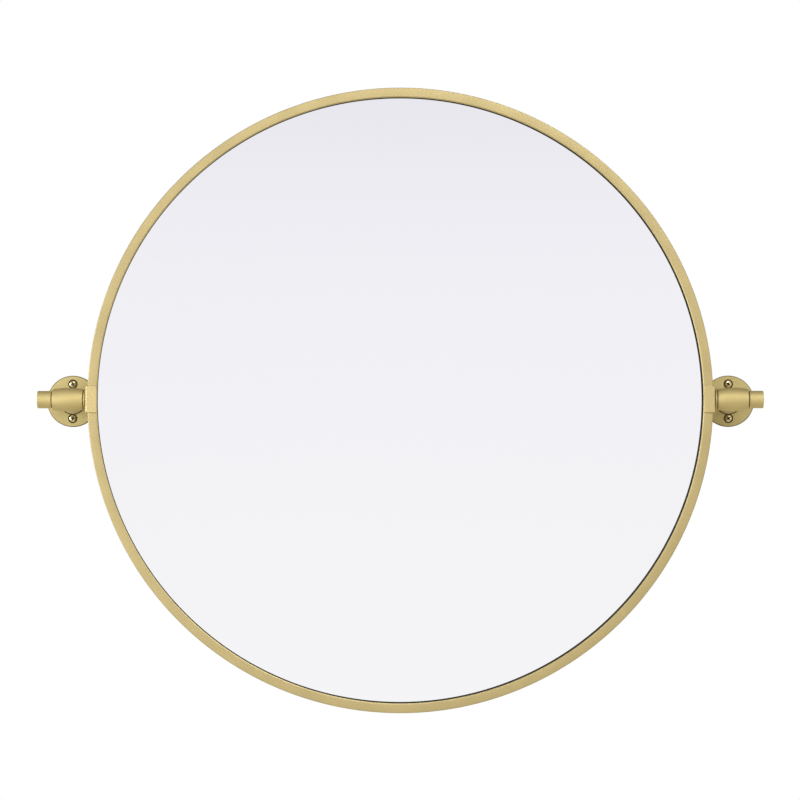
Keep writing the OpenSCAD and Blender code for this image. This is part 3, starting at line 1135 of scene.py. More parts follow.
@dataclass
class SmallScrew:
    """A pan-head screw with a cross recess. Its pattern stands at the origin with its head towards +Y."""

    head_d: float = 6.4 * MM
    head_h: float = 1.9 * MM
    shank_d: float = 3.0 * MM
    grip: float = 8.2 * MM
    recess: float = 3.4 * MM
    edge: float = 0.55 * MM
    under: float = 0.1 * MM
    softness: float = 0.08 * MM
    edge_steps: int = 4
    dome_steps: int = 6
    steps: int = 48

    def pattern(self) -> Piece:
        """Turns the screw and cuts its recess.

        Returns:
            The screw, with the underside of its head at y = 0.
        """
        head_r, shank_r, edge = self.head_d / 2, self.shank_d / 2, self.edge
        dome_r = ((head_r - edge) ** 2 + (self.head_h - 2 * edge) ** 2) / (2 * (self.head_h - 2 * edge))
        turn = math.degrees(math.asin((head_r - edge) / (dome_r + edge)))
        outline = Outline().to((-self.grip, 0), (-self.grip, shank_r), (0, shank_r), (0, head_r - self.under))
        outline.to((self.under, head_r))
        centre = self.head_h - dome_r - edge
        rim = (centre + (dome_r + edge) * math.cos(math.radians(turn)), head_r - edge)
        outline.arc(rim, edge, 90, 180 - turn, self.edge_steps)
        outline.arc((centre, 0), dome_r + 2 * edge, 180 - turn, 180, self.dome_steps)
        screw = Bench.turn("screw", outline, Spindle(Vector(), BACK, RIGHT), self.steps, closed=False)
        top = max(vertex.co.y for vertex in screw.data.vertices)
        Bench.cut(screw, *CrossRecess(self.recess, top).cutters())
        Bench.soften(screw, self.softness, angle=RECESS_DEG)
        return screw


@dataclass
class CrossRecess:
    """The cross sunk into a screw's head: two slots and a square pit that narrow downwards, along Y.

    No two of the three end in one plane. Cuts that did gave a different mesh from run to run.
    """

    span: float
    top: float
    width: float = 0.85 * MM
    depth: float = 1.5 * MM
    stagger: float = 0.03 * MM
    pit_share: float = 0.62
    taper: float = 0.5
    above: float = MM

    def cutters(self) -> list[Piece]:
        """Makes the slots and the pit, each a block whose far end is drawn in.

        Returns:
            The three cutters.
        """
        made = []
        pit = self.pit_share * self.span
        spans = ((self.span, self.width), (self.width, self.span), (pit, pit))
        for step, (span_x, span_z) in enumerate(spans):
            low = Vector((-span_x / 2, self.top - self.depth - step * self.stagger, -span_z / 2))
            high = Vector((span_x / 2, self.top + self.above + step * self.stagger, span_z / 2))
            slot = Bench.block("slot", low, high)
            with Bench.editing(slot):
                Bench.pick(slot, lambda middle, normal: normal.y < -FACING)
                bpy.ops.transform.resize(value=(self.taper, 1, self.taper))
            if span_x == span_z:
                slot.rotation_euler = (0, QUARTER_TURN / 2, 0)
                Bench.settle(slot, "pit")
            made.append(slot)
        return made


@dataclass
class Backing:
    """What closes the mirror at the back: foam, board, blocks, tabs and their screws."""

    board: Finish
    steel: Finish
    rubber: Finish
    foam: Finish
    bevel: float = 1.0 * MM
    tab_w: float = 14 * MM
    tab_l: float = 16 * MM
    tab_t: float = 1.2 * MM
    tab_leg: float = 8 * MM
    tab_bend: float = 0.4 * MM
    tab_bend_steps: tuple[int, int] = (4, 6)
    tab_corner: float = 3.5 * MM
    tab_corner_steps: int = 6
    tab_softness: float = 0.15 * MM
    tab_angles: tuple[int, ...] = (30, 60, 120, 150, 210, 240, 300, 330)
    head_inset: float = 6.4 * MM
    tail_spread: float = 7 * MM
    saddle_twist: tuple[int, int] = (31, 47)
    tab_twist: tuple[int, int] = (17, 53)
    drill_r: float = 1.6 * MM
    drill_l: float = 14.1 * MM
    drill_sides: int = 24
    slack: float = 0.05 * MM
    inner_ring: float = 0.6
    steps: int = 256

    @property
    def back_y(self) -> float:
        """Depth of the board's back."""
        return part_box("backing_board")[1].y

    @property
    def tab_out(self) -> float:
        """Radius of a tab's outer face, which lies along a chord inside the frame's wall."""
        wall_in = reach("frame_ring") - MirrorFrame.wall_t
        return math.sqrt(wall_in**2 - (self.tab_w / 2) ** 2) - self.slack

    def tab_turns(self) -> list[Matrix]:
        """The turns that take a tab from the right of the frame to its place."""
        return [Matrix.Rotation(math.radians(-angle), 4, "Y") for angle in self.tab_angles]

    @staticmethod
    def screw_place(x: float, z: float, y: float, twist: float) -> Matrix:
        """Where a screw stands, turned about its own axis."""
        return Matrix.Translation((x, y, z)) @ Matrix.Rotation(math.radians(twist), 4, "Y")

    def saddle_screw_places(self, y: float) -> list[Matrix]:
        """Places of the screws in the tails of the saddles.

        Args:
            y: Depth of the undersides of their heads.

        Returns:
            A place for each screw, each turned its own way.
        """
        tail_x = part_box("right_saddle")[0].x + self.head_inset
        spots = [(hand.value * tail_x, sign * self.tail_spread) for hand in Hand for sign in (-1, 1)]
        first, more = self.saddle_twist
        return [self.screw_place(x, z, y, first + more * k) for k, (x, z) in enumerate(spots)]

    def tab_screw_places(self, y: float) -> list[Matrix]:
        """Places of the screws in the tabs.

        Args:
            y: Depth of the undersides of their heads.

        Returns:
            A place for each screw, each turned its own way.
        """
        radius = self.tab_out - self.tab_l + self.head_inset
        first, more = self.tab_twist
        return [turn @ self.screw_place(radius, 0, y, first + more * k) for k, turn in enumerate(self.tab_turns())]

    def build_board(self) -> None:
        """Turns the board, with its back edge bevelled, and drills the screws' holes."""
        low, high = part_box("backing_board")
        thick, radius = high.y - low.y, reach("backing_board")
        outline = Outline().to((0, 0), (0, radius), (thick - self.bevel, radius), (thick, radius - self.bevel))
        outline.to((thick, radius * self.inner_ring), (thick, 0))
        axis = PivotPlaces.mirror("backing_board")
        board = Bench.turn("backing_board_piece", outline, axis, self.steps, closed=False)
        drill = Bench.rod("drill", self.drill_r, self.drill_l, self.drill_sides, Vector())
        spots = self.tab_screw_places(self.back_y) + self.saddle_screw_places(self.back_y)
        Bench.cut(board, Bench.copies(drill, "drills", spots))
        fit(board, "mirror", self.board, "backing_board", angle=20)

    def build_tabs(self) -> None:
        """Folds one tab, rounds the corners of its foot, and copies it round the frame."""
        out, thick, back = self.tab_out, self.tab_t, self.back_y
        foot, half = out - self.tab_l, self.tab_w / 2
        bend, (inner_steps, outer_steps) = self.tab_bend, self.tab_bend_steps
        centre = (out - thick - bend, back - bend)
        outline = Outline().to((foot, back), *Saddle.bend(centre, bend, 90, 0, inner_steps))
        outline.to((out - thick, back - self.tab_leg), (out, back - self.tab_leg))
        outline.to(*Saddle.bend(centre, bend + thick, 0, 90, outer_steps), (foot, back + thick))
        places = [Vector((x, y, -half)) for x, y in outline.points]
        tab = Bench.fold("tab", places, Vector((0, 0, self.tab_w)))
        with Bench.editing(tab):
            Bench.pick_edges(
                tab, lambda a, b: abs(a.x - foot) < Bench.WELD and abs(b.x - foot) < Bench.WELD and a.z == b.z
            )
            bpy.ops.mesh.bevel(offset=self.tab_corner, segments=self.tab_corner_steps, affect="EDGES")
        Bench.weld(tab)
        Bench.soften(tab, self.tab_softness)
        fit(Bench.copies(tab, "retaining_tabs_piece", self.tab_turns()), "mirror", self.steel, "retaining_tabs")

    def build(self) -> None:
        """Makes the board, the tabs and the screws, and dresses what the frame already shows well."""
        self.build_board()
        self.build_tabs()
        for name, places in (
            ("tab_screws", self.tab_screw_places(self.back_y + self.tab_t)),
            ("saddle_screws", self.saddle_screw_places(self.back_y + Saddle.thick)),
        ):
            fit(Bench.copies(SmallScrew().pattern(), name + "_piece", places), "mirror", self.steel, name)
        dress(self.rubber, "edge_blocks")
        dress(self.foam, "foam_sheet")


@dataclass
class Saddle:
    """The folded plate that grips the frame's edge and carries the pivot bolt."""

    finish: Finish
    thick: float = 1.8 * MM
    front_w: float = 11.1 * MM
    bend_r: float = 1.3 * MM
    edge_r: float = 0.4 * MM
    edge_segments: int = 3
    edge_deg: float = 40
    step_gap: float = 0.2 * MM

    def outline(self) -> Outline:
        """Plan of the right saddle in x and y: front leg, side plate, rear leg, step and tail.

        Returns:
            The closed outline.
        """
        low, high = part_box("right_saddle")
        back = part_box("backing_board")[1].y
        t, r, far = self.thick, self.bend_r, high.x
        rear = high.y - t
        step = self.step_x()
        plan = Outline().to((far - self.front_w, low.y + t), (far - self.front_w, low.y))
        plan.to(*self.bend((far - r, low.y + r), r, -90, 0))
        plan.to(*self.bend((far - r, high.y - r), r, 0, 90))
        plan.to(*self.bend((step - t + r, high.y - r), r, 90, 180))
        plan.to((step - t, back + t), (low.x, back + t), (low.x, back))
        plan.to(*self.bend((step - r, back + r), r, -90, 0))
        plan.to((step, rear), (far - t, rear), (far - t, low.y + t))
        return plan

    @staticmethod
    def bend(centre: Point, radius: float, start: float, end: float, steps: int = 6) -> list[Point]:
        """Points of a bend in x and y, with 0 degrees along +x and 90 along +y."""
        turns = [math.radians(start + (end - start) * step / steps) for step in range(steps + 1)]
        return [(centre[0] + radius * math.cos(turn), centre[1] + radius * math.sin(turn)) for turn in turns]

    @staticmethod
    def step_x() -> float:
        """Outer face of the step, just inside the frame's wall at the saddle's corners.

        Returns:
            Its x.
        """
        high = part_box("right_saddle")[1]
        wall_in = reach("frame_ring") - MirrorFrame.wall_t
        return math.sqrt(wall_in**2 - high.z**2) - Saddle.step_gap

    def build(self) -> None:
        """Folds the right saddle, softens its edges, cuts its square hole and fits it on both sides."""
        low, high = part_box("right_saddle")
        places = [Vector((x, y, low.z)) for x, y in self.outline().points]
        saddle = Bench.fold("saddle", places, Vector((0, 0, high.z - low.z)))
        Bench.soften(saddle, self.edge_r, self.edge_segments, self.edge_deg)
        half, y = MirrorFrame.neck / 2, PivotPlaces.axis_y()
        near = high.x - 2 * self.thick
        hole = Bench.block("hole", Vector((near, y - half, -half)), Vector((high.x + MM, y + half, half)))
        Bench.cut(saddle, hole)
        fit_pair(saddle, "saddle", "mirror", self.finish)


# ---------- the pivots and brackets ----------


@dataclass
class PivotBolt:
    """The bolt of each pivot: a low domed head, a square neck, a plain shank and the thread for the knob."""

    steel: Finish
    head_h: float = 2.6 * MM
    dome_h: float = 1.3 * MM
    neck: float = 8.0 * MM
    slack: float = 0.2 * MM
    shank_r: float = 4.0 * MM
    core_r: float = 3.35 * MM
    pitch: float = 1.25 * MM
    thread_l: float = 15.0 * MM
    point: float = 0.8 * MM
    dent: float = 0.1 * MM
    root: float = 0.15 * MM
    run_out: float = 0.2 * MM
    flank_deg: float = 30
    crest_share: float = 0.125
    neck_edge: float = 0.4 * MM
    dome_steps: int = 10
    steps: int = 64

    def shank(self, neck_end: float) -> Piece:
        """Turns the head, the shank and the core of the thread.

        Args:
            neck_end: Where the square neck ends, as an x.

        Returns:
            The turned part of the right bolt.
        """
        low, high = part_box("right_pivot_bolt")
        head_r, under = high.z, self.shank_r - self.dent
        dome_r = (head_r**2 + self.dome_h**2) / (2 * self.dome_h)
        run_in = self.shank_r - self.core_r
        start = high.x - self.thread_l
        turn = math.degrees(math.asin(head_r / dome_r))
        outline = Outline().arc((low.x + dome_r, 0), dome_r, 0, turn, self.dome_steps)
        outline.to((low.x + self.head_h, head_r), (low.x + self.head_h, under), (neck_end + HAIR, under))
        outline.to((neck_end + HAIR, self.shank_r), (start, self.shank_r), (start + run_in, self.core_r))
        outline.to((high.x - self.point, self.core_r), (high.x, self.core_r - self.point), (high.x, 0))
        return Bench.turn("bolt", outline, PivotPlaces.pivot(), self.steps, closed=False)

    def thread(self) -> Piece:
        """Winds the thread's ridge and sets it on the right bolt.

        Returns:
            The ridge, whose root lies inside the core.
        """
        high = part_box("right_pivot_bolt")[1]
        base = self.core_r - self.root
        flank = (self.shank_r - base) * math.tan(math.radians(self.flank_deg))
        crest = self.pitch * self.crest_share
        ridge = Outline().to((0, base), (flank, self.shank_r), (flank + crest, self.shank_r), (2 * flank + crest, base))
        turns = int((self.thread_l - self.point) / self.pitch) - 1
        thread = Bench.helix("thread", ridge, Spindle(Vector(), RIGHT, UP), self.pitch, turns)
        thread.location = (high.x - self.thread_l + self.run_out, PivotPlaces.axis_y(), 0)
        return Bench.settle(thread, "thread")

    def build(self) -> None:
        """Makes one bolt and sets it on both sides, turned about and not mirrored, so both threads are right-handed."""
        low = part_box("right_pivot_bolt")[0]
        half, y = self.neck / 2, PivotPlaces.axis_y()
        neck_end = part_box("right_saddle")[1].x - self.slack
        bolt = self.shank(neck_end)
        neck_start = low.x + self.head_h - self.slack
        neck = Bench.block("neck", Vector((neck_start, y - half, -half)), Vector((neck_end, y + half, half)))
        Bench.soften(neck, self.neck_edge)
        Bench.combine(bolt, "UNION", neck, self.thread())
        pivot = Matrix.Translation((0, y, 0))
        for hand in Hand:
            about = Matrix.Rotation(math.pi if hand is Hand.LEFT else 0.0, 4, "Z")
            piece = Bench.placed(bolt, hand.node("pivot_bolt") + "_piece", pivot @ about @ pivot.inverted())
            fit(piece, "mirror", self.steel, hand.node("pivot_bolt"), angle=25)
        Bench.discard(bolt)


@dataclass
class PivotStack:
    """What lies between the saddle and the knob: washers and bush."""

    brass: Finish
    fibre: Finish
    nylon: Finish
    bore_r: float = 4.2 * MM
    fibre_edge: float = 0.12 * MM
    brass_edge: float = 0.35 * MM
    edge_steps: int = 4
    steps: int = 96

    def washer(self, name: str, start: float, end: float, radius: float, edge: float) -> Piece:
        """Turns a washer on the pivot axis.

        Args:
            name: Name of the new piece.
            start: Its inner face, as an x.
            end: Its outer face, as an x.
            radius: Its outer radius.
            edge: Rounding of its outer edges.

        Returns:
            The washer.
        """
        outline = Outline().to((start, self.bore_r))
        outline.arc((start + edge, radius - edge), edge, 0, 90, self.edge_steps)
        outline.arc((end - edge, radius - edge), edge, 90, 180, self.edge_steps)
        outline.to((end, self.bore_r))
        return Bench.turn(name, outline, PivotPlaces.pivot(), self.steps)

    def build(self) -> None:
        """Makes the washers of both sides, and dresses the bushes."""
        low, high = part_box("right_friction_washers")
        inner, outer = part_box("right_spacer_washer")
        soft = self.washer("soft", low.x, inner.x, high.z, self.fibre_edge)
        Bench.join(soft, self.washer("second", outer.x, high.x, high.z, self.fibre_edge))
        fit_pair(soft, "friction_washers", "mirror", self.fibre)
        spacer = self.washer("spacer", inner.x, outer.x, outer.z, self.brass_edge)
        fit_pair(spacer, "spacer_washer", "mirror", self.brass)
        low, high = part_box("right_knob_washer")
        under = self.washer("under", low.x, high.x, high.z, self.fibre_edge)
        fit_pair(under, "knob_washer", "{}_knob_seat", self.fibre)
        for hand in Hand:
            dress(self.nylon, hand.node("pivot_bush"))


@dataclass
class WallBracket:
    """A wall bracket: barrel, post and flange."""

    turned: Finish
    post_finish: Finish
    steel: Finish
    # Painted shade for the countersinks and the post's seat
    patina: Finish
    # Painted shade for the flange's outer edge rounding
    edge_shade_finish: Finish
    barrel_mid_r: float = 11.5 * MM
    barrel_end_r: float = 10.1 * MM
    barrel_edge: float = 0.6 * MM
    bore_r: float = 5.55 * MM
    post_r: float = 7.0 * MM
    post_rim: float = 2.2 * MM
    foot_edge: float = 0.5 * MM
    cove_end_deg: float = 8
    tip_edge: float = 0.3 * MM
    socket_floor: float = 8.0 * MM
    socket_sides: int = 96
    flange_edge: float = 0.8 * MM
    flange_back_edge: float = 0.2 * MM
    head_bore_r: float = 6.0 * MM
    head_bore_depth: float = 2.8 * MM
    shank_bore_r: float = 3.2 * MM
    seat_depth: float = 0.8 * MM
    seat_gap: float = 0.05 * MM
    seat_edge: float = 0.7 * MM
    screw_pitch: float = 34 * MM
    screw_hole_r: float = 2.3 * MM
    screw_rim_r: float = 4.7 * MM
    rim_margin: float = 0.05 * MM
    front_margin: float = 0.01 * MM
    back_margin: float = 0.3 * MM
    edge_steps: int = 6
    curve_steps: int = 28
    foot_steps: int = 2
    rim_end_deg: float = 150
    rim_steps: int = 4
    cove_steps: int = 14
    flange_steps: int = 7
    sink_steps: int = 64
    steps: int = 128

    def build_barrel(self) -> None:
        """Turns the barrel between its rounded ends and cuts the post's socket into it."""
        low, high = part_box("right_barrel")
        half = (high.x - low.x) / 2
        middle = (high.x + low.x) / 2
        rise = self.barrel_mid_r - self.barrel_end_r
        arc_r = (half**2 + rise**2) / (2 * rise)
        edge = self.barrel_edge
        turn = math.asin((half - edge) / (arc_r - edge))
        corner_r = self.barrel_mid_r - arc_r + (arc_r - edge) * math.cos(turn)
        degrees = math.degrees(turn)
        outline = Outline().to((low.x, self.bore_r))
        outline.arc((low.x + edge, corner_r), edge, 0, 90 - degrees, self.edge_steps)
        outline.arc((middle, self.barrel_mid_r - arc_r), arc_r, 90 - degrees, 90 + degrees, self.curve_steps)
        outline.arc((high.x - edge, corner_r), edge, 90 + degrees, 180, self.edge_steps)
        outline.to((high.x, self.bore_r))
        barrel = Bench.turn("barrel", outline, PivotPlaces.pivot(), self.steps)
        near = PivotPlaces.axis_y() + self.socket_floor
        centre = Vector((PivotPlaces.post_x(), near + self.barrel_mid_r, 0))
        length = 2 * self.barrel_mid_r
        Bench.cut(barrel, Bench.rod("socket", self.post_r + self.seat_gap, length, self.socket_sides, centre))
        fit_pair(barrel, "barrel", "brackets", self.turned, angle=30)

    def build_post(self) -> None:
        """Turns the post: a rimmed foot that sweeps up into a straight neck."""
        low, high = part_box("right_post")
        base, tip = -high.y, -low.y
        foot_r = (high.x - low.x) / 2
        cove = foot_r - self.post_r
        edge = self.foot_edge
        top = base + self.post_rim
        outline = Outline().to((base, 0))
        outline.arc((base + edge / 2, foot_r - edge / 2), edge / 2, 0, 90, self.foot_steps)
        outline.arc((top - edge, foot_r - edge), edge, 90, self.rim_end_deg, self.rim_steps)
        start = math.degrees(math.asin(1 - edge / cove)) - self.cove_end_deg
        for step in range(self.cove_steps + 1):
            angle = math.radians(start * (1 - step / self.cove_steps))
            outline.to((top + cove - cove * math.sin(angle), foot_r - cove * math.cos(angle)))
        outline.to((tip - self.tip_edge, self.post_r), (tip, self.post_r - self.tip_edge), (tip, 0))
        post = Bench.turn("post", outline, PivotPlaces.post(), self.steps, closed=False)
        fit_pair(post, "post", "brackets", self.post_finish, angle=30)

    def build_flange(self) -> None:
        """Turns the flange with the post's seat, cuts its two countersunk holes, and paints shade into its hollows and
        onto its outer edge.
        """
        low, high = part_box("right_flange")
        thick, radius = high.y - low.y, (high.x - low.x) / 2
        post_low, post_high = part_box("right_post")
        seat_r = (post_high.x - post_low.x) / 2 + self.seat_gap
        floor = thick - self.seat_depth
        edge, back_edge, lip = self.flange_edge, self.flange_back_edge, self.seat_edge
        outline = Outline().to((0, self.head_bore_r), (0, radius - back_edge), (back_edge, radius))
        outline.arc((thick - edge, radius - edge), edge, 90, 180, self.flange_steps)
        outline.to((thick, seat_r + lip), (thick - lip, seat_r), (floor, seat_r), (floor, self.shank_bore_r))
        outline.to((self.head_bore_depth, self.shank_bore_r))
        flange = Bench.turn("flange", outline, PivotPlaces.post(), self.steps)
        depth, post_x = self.screw_rim_r - self.screw_hole_r, PivotPlaces.post_x()
        for sign in (-1, 1):
            axis = Spindle(Vector((post_x, 0, sign * self.screw_pitch / 2)), FRONT, RIGHT)
            sink = Outline().to((-MM, 0), (-MM, self.screw_hole_r), (thick - depth, self.screw_hole_r))
            sink.to((thick, self.screw_rim_r), (thick + MM, self.screw_rim_r), (thick + MM, 0))
            Bench.cut(flange, Bench.turn("sink", sink, axis, self.sink_steps, closed=False))
        Bench.coat(flange, self.post_finish, self.patina, self.edge_shade_finish)
        # Painted shade: the countersinks' walls and the post's seat chamfer get a near-black brown, standing for the
        # shade in those hollows.
        Bench.paint(flange, 1, lambda middle, normal: self.in_shade(middle, post_x, thick, seat_r))
        # Painted shade: the flange's outer edge rounding gets a dark brass, standing for the dark outline that shade
        # and dark reflections give that edge.
        Bench.paint(
            flange,
            2,
            lambda middle, normal: middle.y < edge - thick and math.hypot(middle.x - post_x, middle.z) > radius - edge,
        )
        fit_pair(flange, "flange", "brackets", self.post_finish, angle=30)

    def in_shade(self, middle: Vector, post_x: float, thick: float, seat_r: float) -> bool:
        """Whether a face of the right flange lies in a countersink or in the post's seat.

        Args:
            middle: The face's middle.
            post_x: Where the post's axis lies.
            thick: Thickness of the flange.
            seat_r: Radius of the post's seat.

        Returns:
            True for a face in one of the three that lies below the flange's front.
        """
        x, half, rim_r = middle.x - post_x, self.screw_pitch / 2, self.screw_rim_r - self.rim_margin
        sunk = any(math.hypot(x, middle.z - sign * half) < rim_r for sign in (-1, 1))
        seated = math.hypot(x, middle.z) < seat_r + self.seat_edge
        return -thick + self.front_margin < middle.y < -self.back_margin and (sunk or seated)

    def build(self) -> None:
        """Makes both brackets and dresses the hidden screws in the posts."""
        self.build_barrel()
        self.build_post()
        self.build_flange()
        dress(self.steel, "post_screws")


@dataclass
class WallScrew:
    """The oval-head wall screws, with a cross recess and a cut thread."""

    finish: Finish
    # Painted shade for the inside of the cross recess
    patina: Finish
    head_r: float = 3.65 * MM
    rise: float = 1.1 * MM
    sink: float = 0.6 * MM
    shank_r: float = 2.1 * MM
    core_r: float = 1.35 * MM
    thread_r: float = 1.8 * MM
    pitch: float = 1.7 * MM
    tip: float = 5.4 * MM
    recess: float = 4.8 * MM
    slot_w: float = 1.45 * MM
    recess_depth: float = 2.1 * MM
    head_edge: float = 0.15 * MM
    core_back: float = 0.4 * MM
    softness: float = 0.1 * MM
    # How far the painted shade reaches past the recess, and how far below the dome it starts
    recess_shade_margin: float = 0.1 * MM
    recess_shade_depth: float = 0.12 * MM
    ridge: tuple[float, float, float] = (0.42, 0.5, 0.8)
    root: float = 0.15 * MM
    twist: tuple[int, int, int] = (20, 65, 34)
    dome_steps: int = 8
    steps: int = 48

    def pattern(self) -> Piece:
        """Turns the screw at the origin, with its head towards -Y, and cuts its recess.

        Returns:
            The screw, without its thread.
        """
        thick = -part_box("right_flange")[0].y
        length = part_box("wall_screws")[1].y - HAIR
        rim = thick - self.sink
        cone = self.head_r - self.shank_r
        dome_r = (self.head_r**2 + self.rise**2) / (2 * self.rise)
        turn = math.degrees(math.asin(self.head_r / dome_r))
        outline = Outline().to((-length, 0), (-length + self.tip, self.core_r), (-self.core_back, self.core_r))
        edge = self.head_edge
        outline.to((0, self.shank_r), (rim - cone, self.shank_r), (rim - edge, self.head_r - edge), (rim, self.head_r))
        outline.arc((rim + self.rise - dome_r, 0), dome_r, 180 - turn, 180, self.dome_steps)
        screw = Bench.turn("screw", outline, Spindle(Vector(), FRONT, RIGHT), self.steps, closed=False)
        cutters = CrossRecess(self.recess, rim + self.rise, self.slot_w, self.recess_depth).cutters()
        for cutter in cutters:
            cutter.rotation_euler = (math.pi, 0, 0)
            Bench.settle(cutter, "slot")
        Bench.cut(screw, *cutters)
        Bench.soften(screw, self.softness, angle=RECESS_DEG)
        Bench.coat(screw, self.finish, self.patina)
        dome = rim + self.rise - dome_r
        # Painted shade: the faces inside the cross recess get a near-black brown, standing for the shade in it.
        Bench.paint(
            screw,
            1,
            lambda middle, normal: math.hypot(middle.x, middle.z) < self.recess / 2 + self.recess_shade_margin
            and dome_r - self.recess_shade_depth > math.hypot(middle.x, middle.z, middle.y + dome)
            and -middle.y > rim - self.rise,
        )
        return screw

    def thread(self) -> Piece:
        """Winds the thread's ridge, from behind the flange to where the point starts.

        Returns:
            The ridge, whose root lies inside the core.
        """
        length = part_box("wall_screws")[1].y
        turns = int((length - self.tip) / self.pitch) - 1
        base, crest, pitch = self.core_r - self.root, self.thread_r, self.pitch
        rise, fall, end = self.ridge
        ridge = Outline().to((0, base), (rise * pitch, crest), (fall * pitch, crest), (end * pitch, base))
        return Bench.helix("thread", ridge, Spindle(Vector(), BACK, RIGHT), pitch, turns)

    def build(self) -> None:
        """Sets a screw in each of the four countersinks, each turned its own way."""
        screw = self.pattern()
        Bench.combine(screw, "UNION", self.thread())
        first, by_hand, by_sign = self.twist
        spots = [
            Matrix.Translation((hand.value * PivotPlaces.post_x(), 0, sign * WallBracket.screw_pitch / 2))
            @ Matrix.Rotation(math.radians(first + by_hand * hand.value + by_sign * sign), 4, "Y")
            for hand in Hand
            for sign in (-1, 1)
        ]
        fit(Bench.copies(screw, "wall_screws_piece", spots), "brackets", self.finish, "wall_screws")


@dataclass
class EndKnob:
    """The turned knob on the end of each bolt."""

    finish: Finish
    bore_r: float = 4.05 * MM
    cap: float = 2.4 * MM
    edge: float = 0.4 * MM
    inner_edge: float = 0.35 * MM
    inner_steps: int = 4
    edge_steps: int = 7
    steps: int = 128

    def build(self) -> None:
        """Turns the right knob and fits it on both sides."""
        low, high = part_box("right_knob")
        radius, edge, inner = high.z, self.edge, self.inner_edge
        outline = Outline().to((high.x - self.cap, 0), (high.x - self.cap, self.bore_r), (low.x, self.bore_r))
        outline.arc((low.x + inner, radius - inner), inner, 0, 90, self.inner_steps)
        outline.arc((high.x - edge, radius - edge), edge, 90, 180, self.edge_steps)
        outline.to((high.x, 0))
        knob = Bench.turn("knob", outline, PivotPlaces.pivot(), self.steps, closed=False)
        fit_pair(knob, "knob", "{}_knob", self.finish, angle=30)


# ---------- the studio ----------


def aimed(name: str, data: bpy.types.ID, place: Sequence[float], aim: Sequence[float]) -> Piece:
    """Adds a lamp or a camera that looks at a point.

    Args:
        name: Name of the new object.
        data: The lamp's or camera's own data.
        place: Where it stands.
        aim: The point that it looks at.

    Returns:
        The new object.
    """
    made = bpy.data.objects.new(name, data)
    bpy.context.scene.collection.objects.link(made)
    made.location = place
    made.rotation_euler = (Vector(aim) - Vector(place)).to_track_quat("-Z", "Y").to_euler()
    return made


@dataclass(frozen=True)
class SoftBox:
    """A large soft lamp, aimed at a point."""

    name: str
    place: tuple[float, float, float]
    aim: tuple[float, float, float]
    width: float
    height: float
    power: float

    def build(self) -> Piece:
        """Adds the lamp, which is white.

        Returns:
            The lamp.
        """
        data = bpy.data.lights.new(self.name, "AREA")
        data.shape = "RECTANGLE"
        data.size, data.size_y = self.width, self.height
        data.energy = self.power
        return aimed(self.name, data, self.place, self.aim)


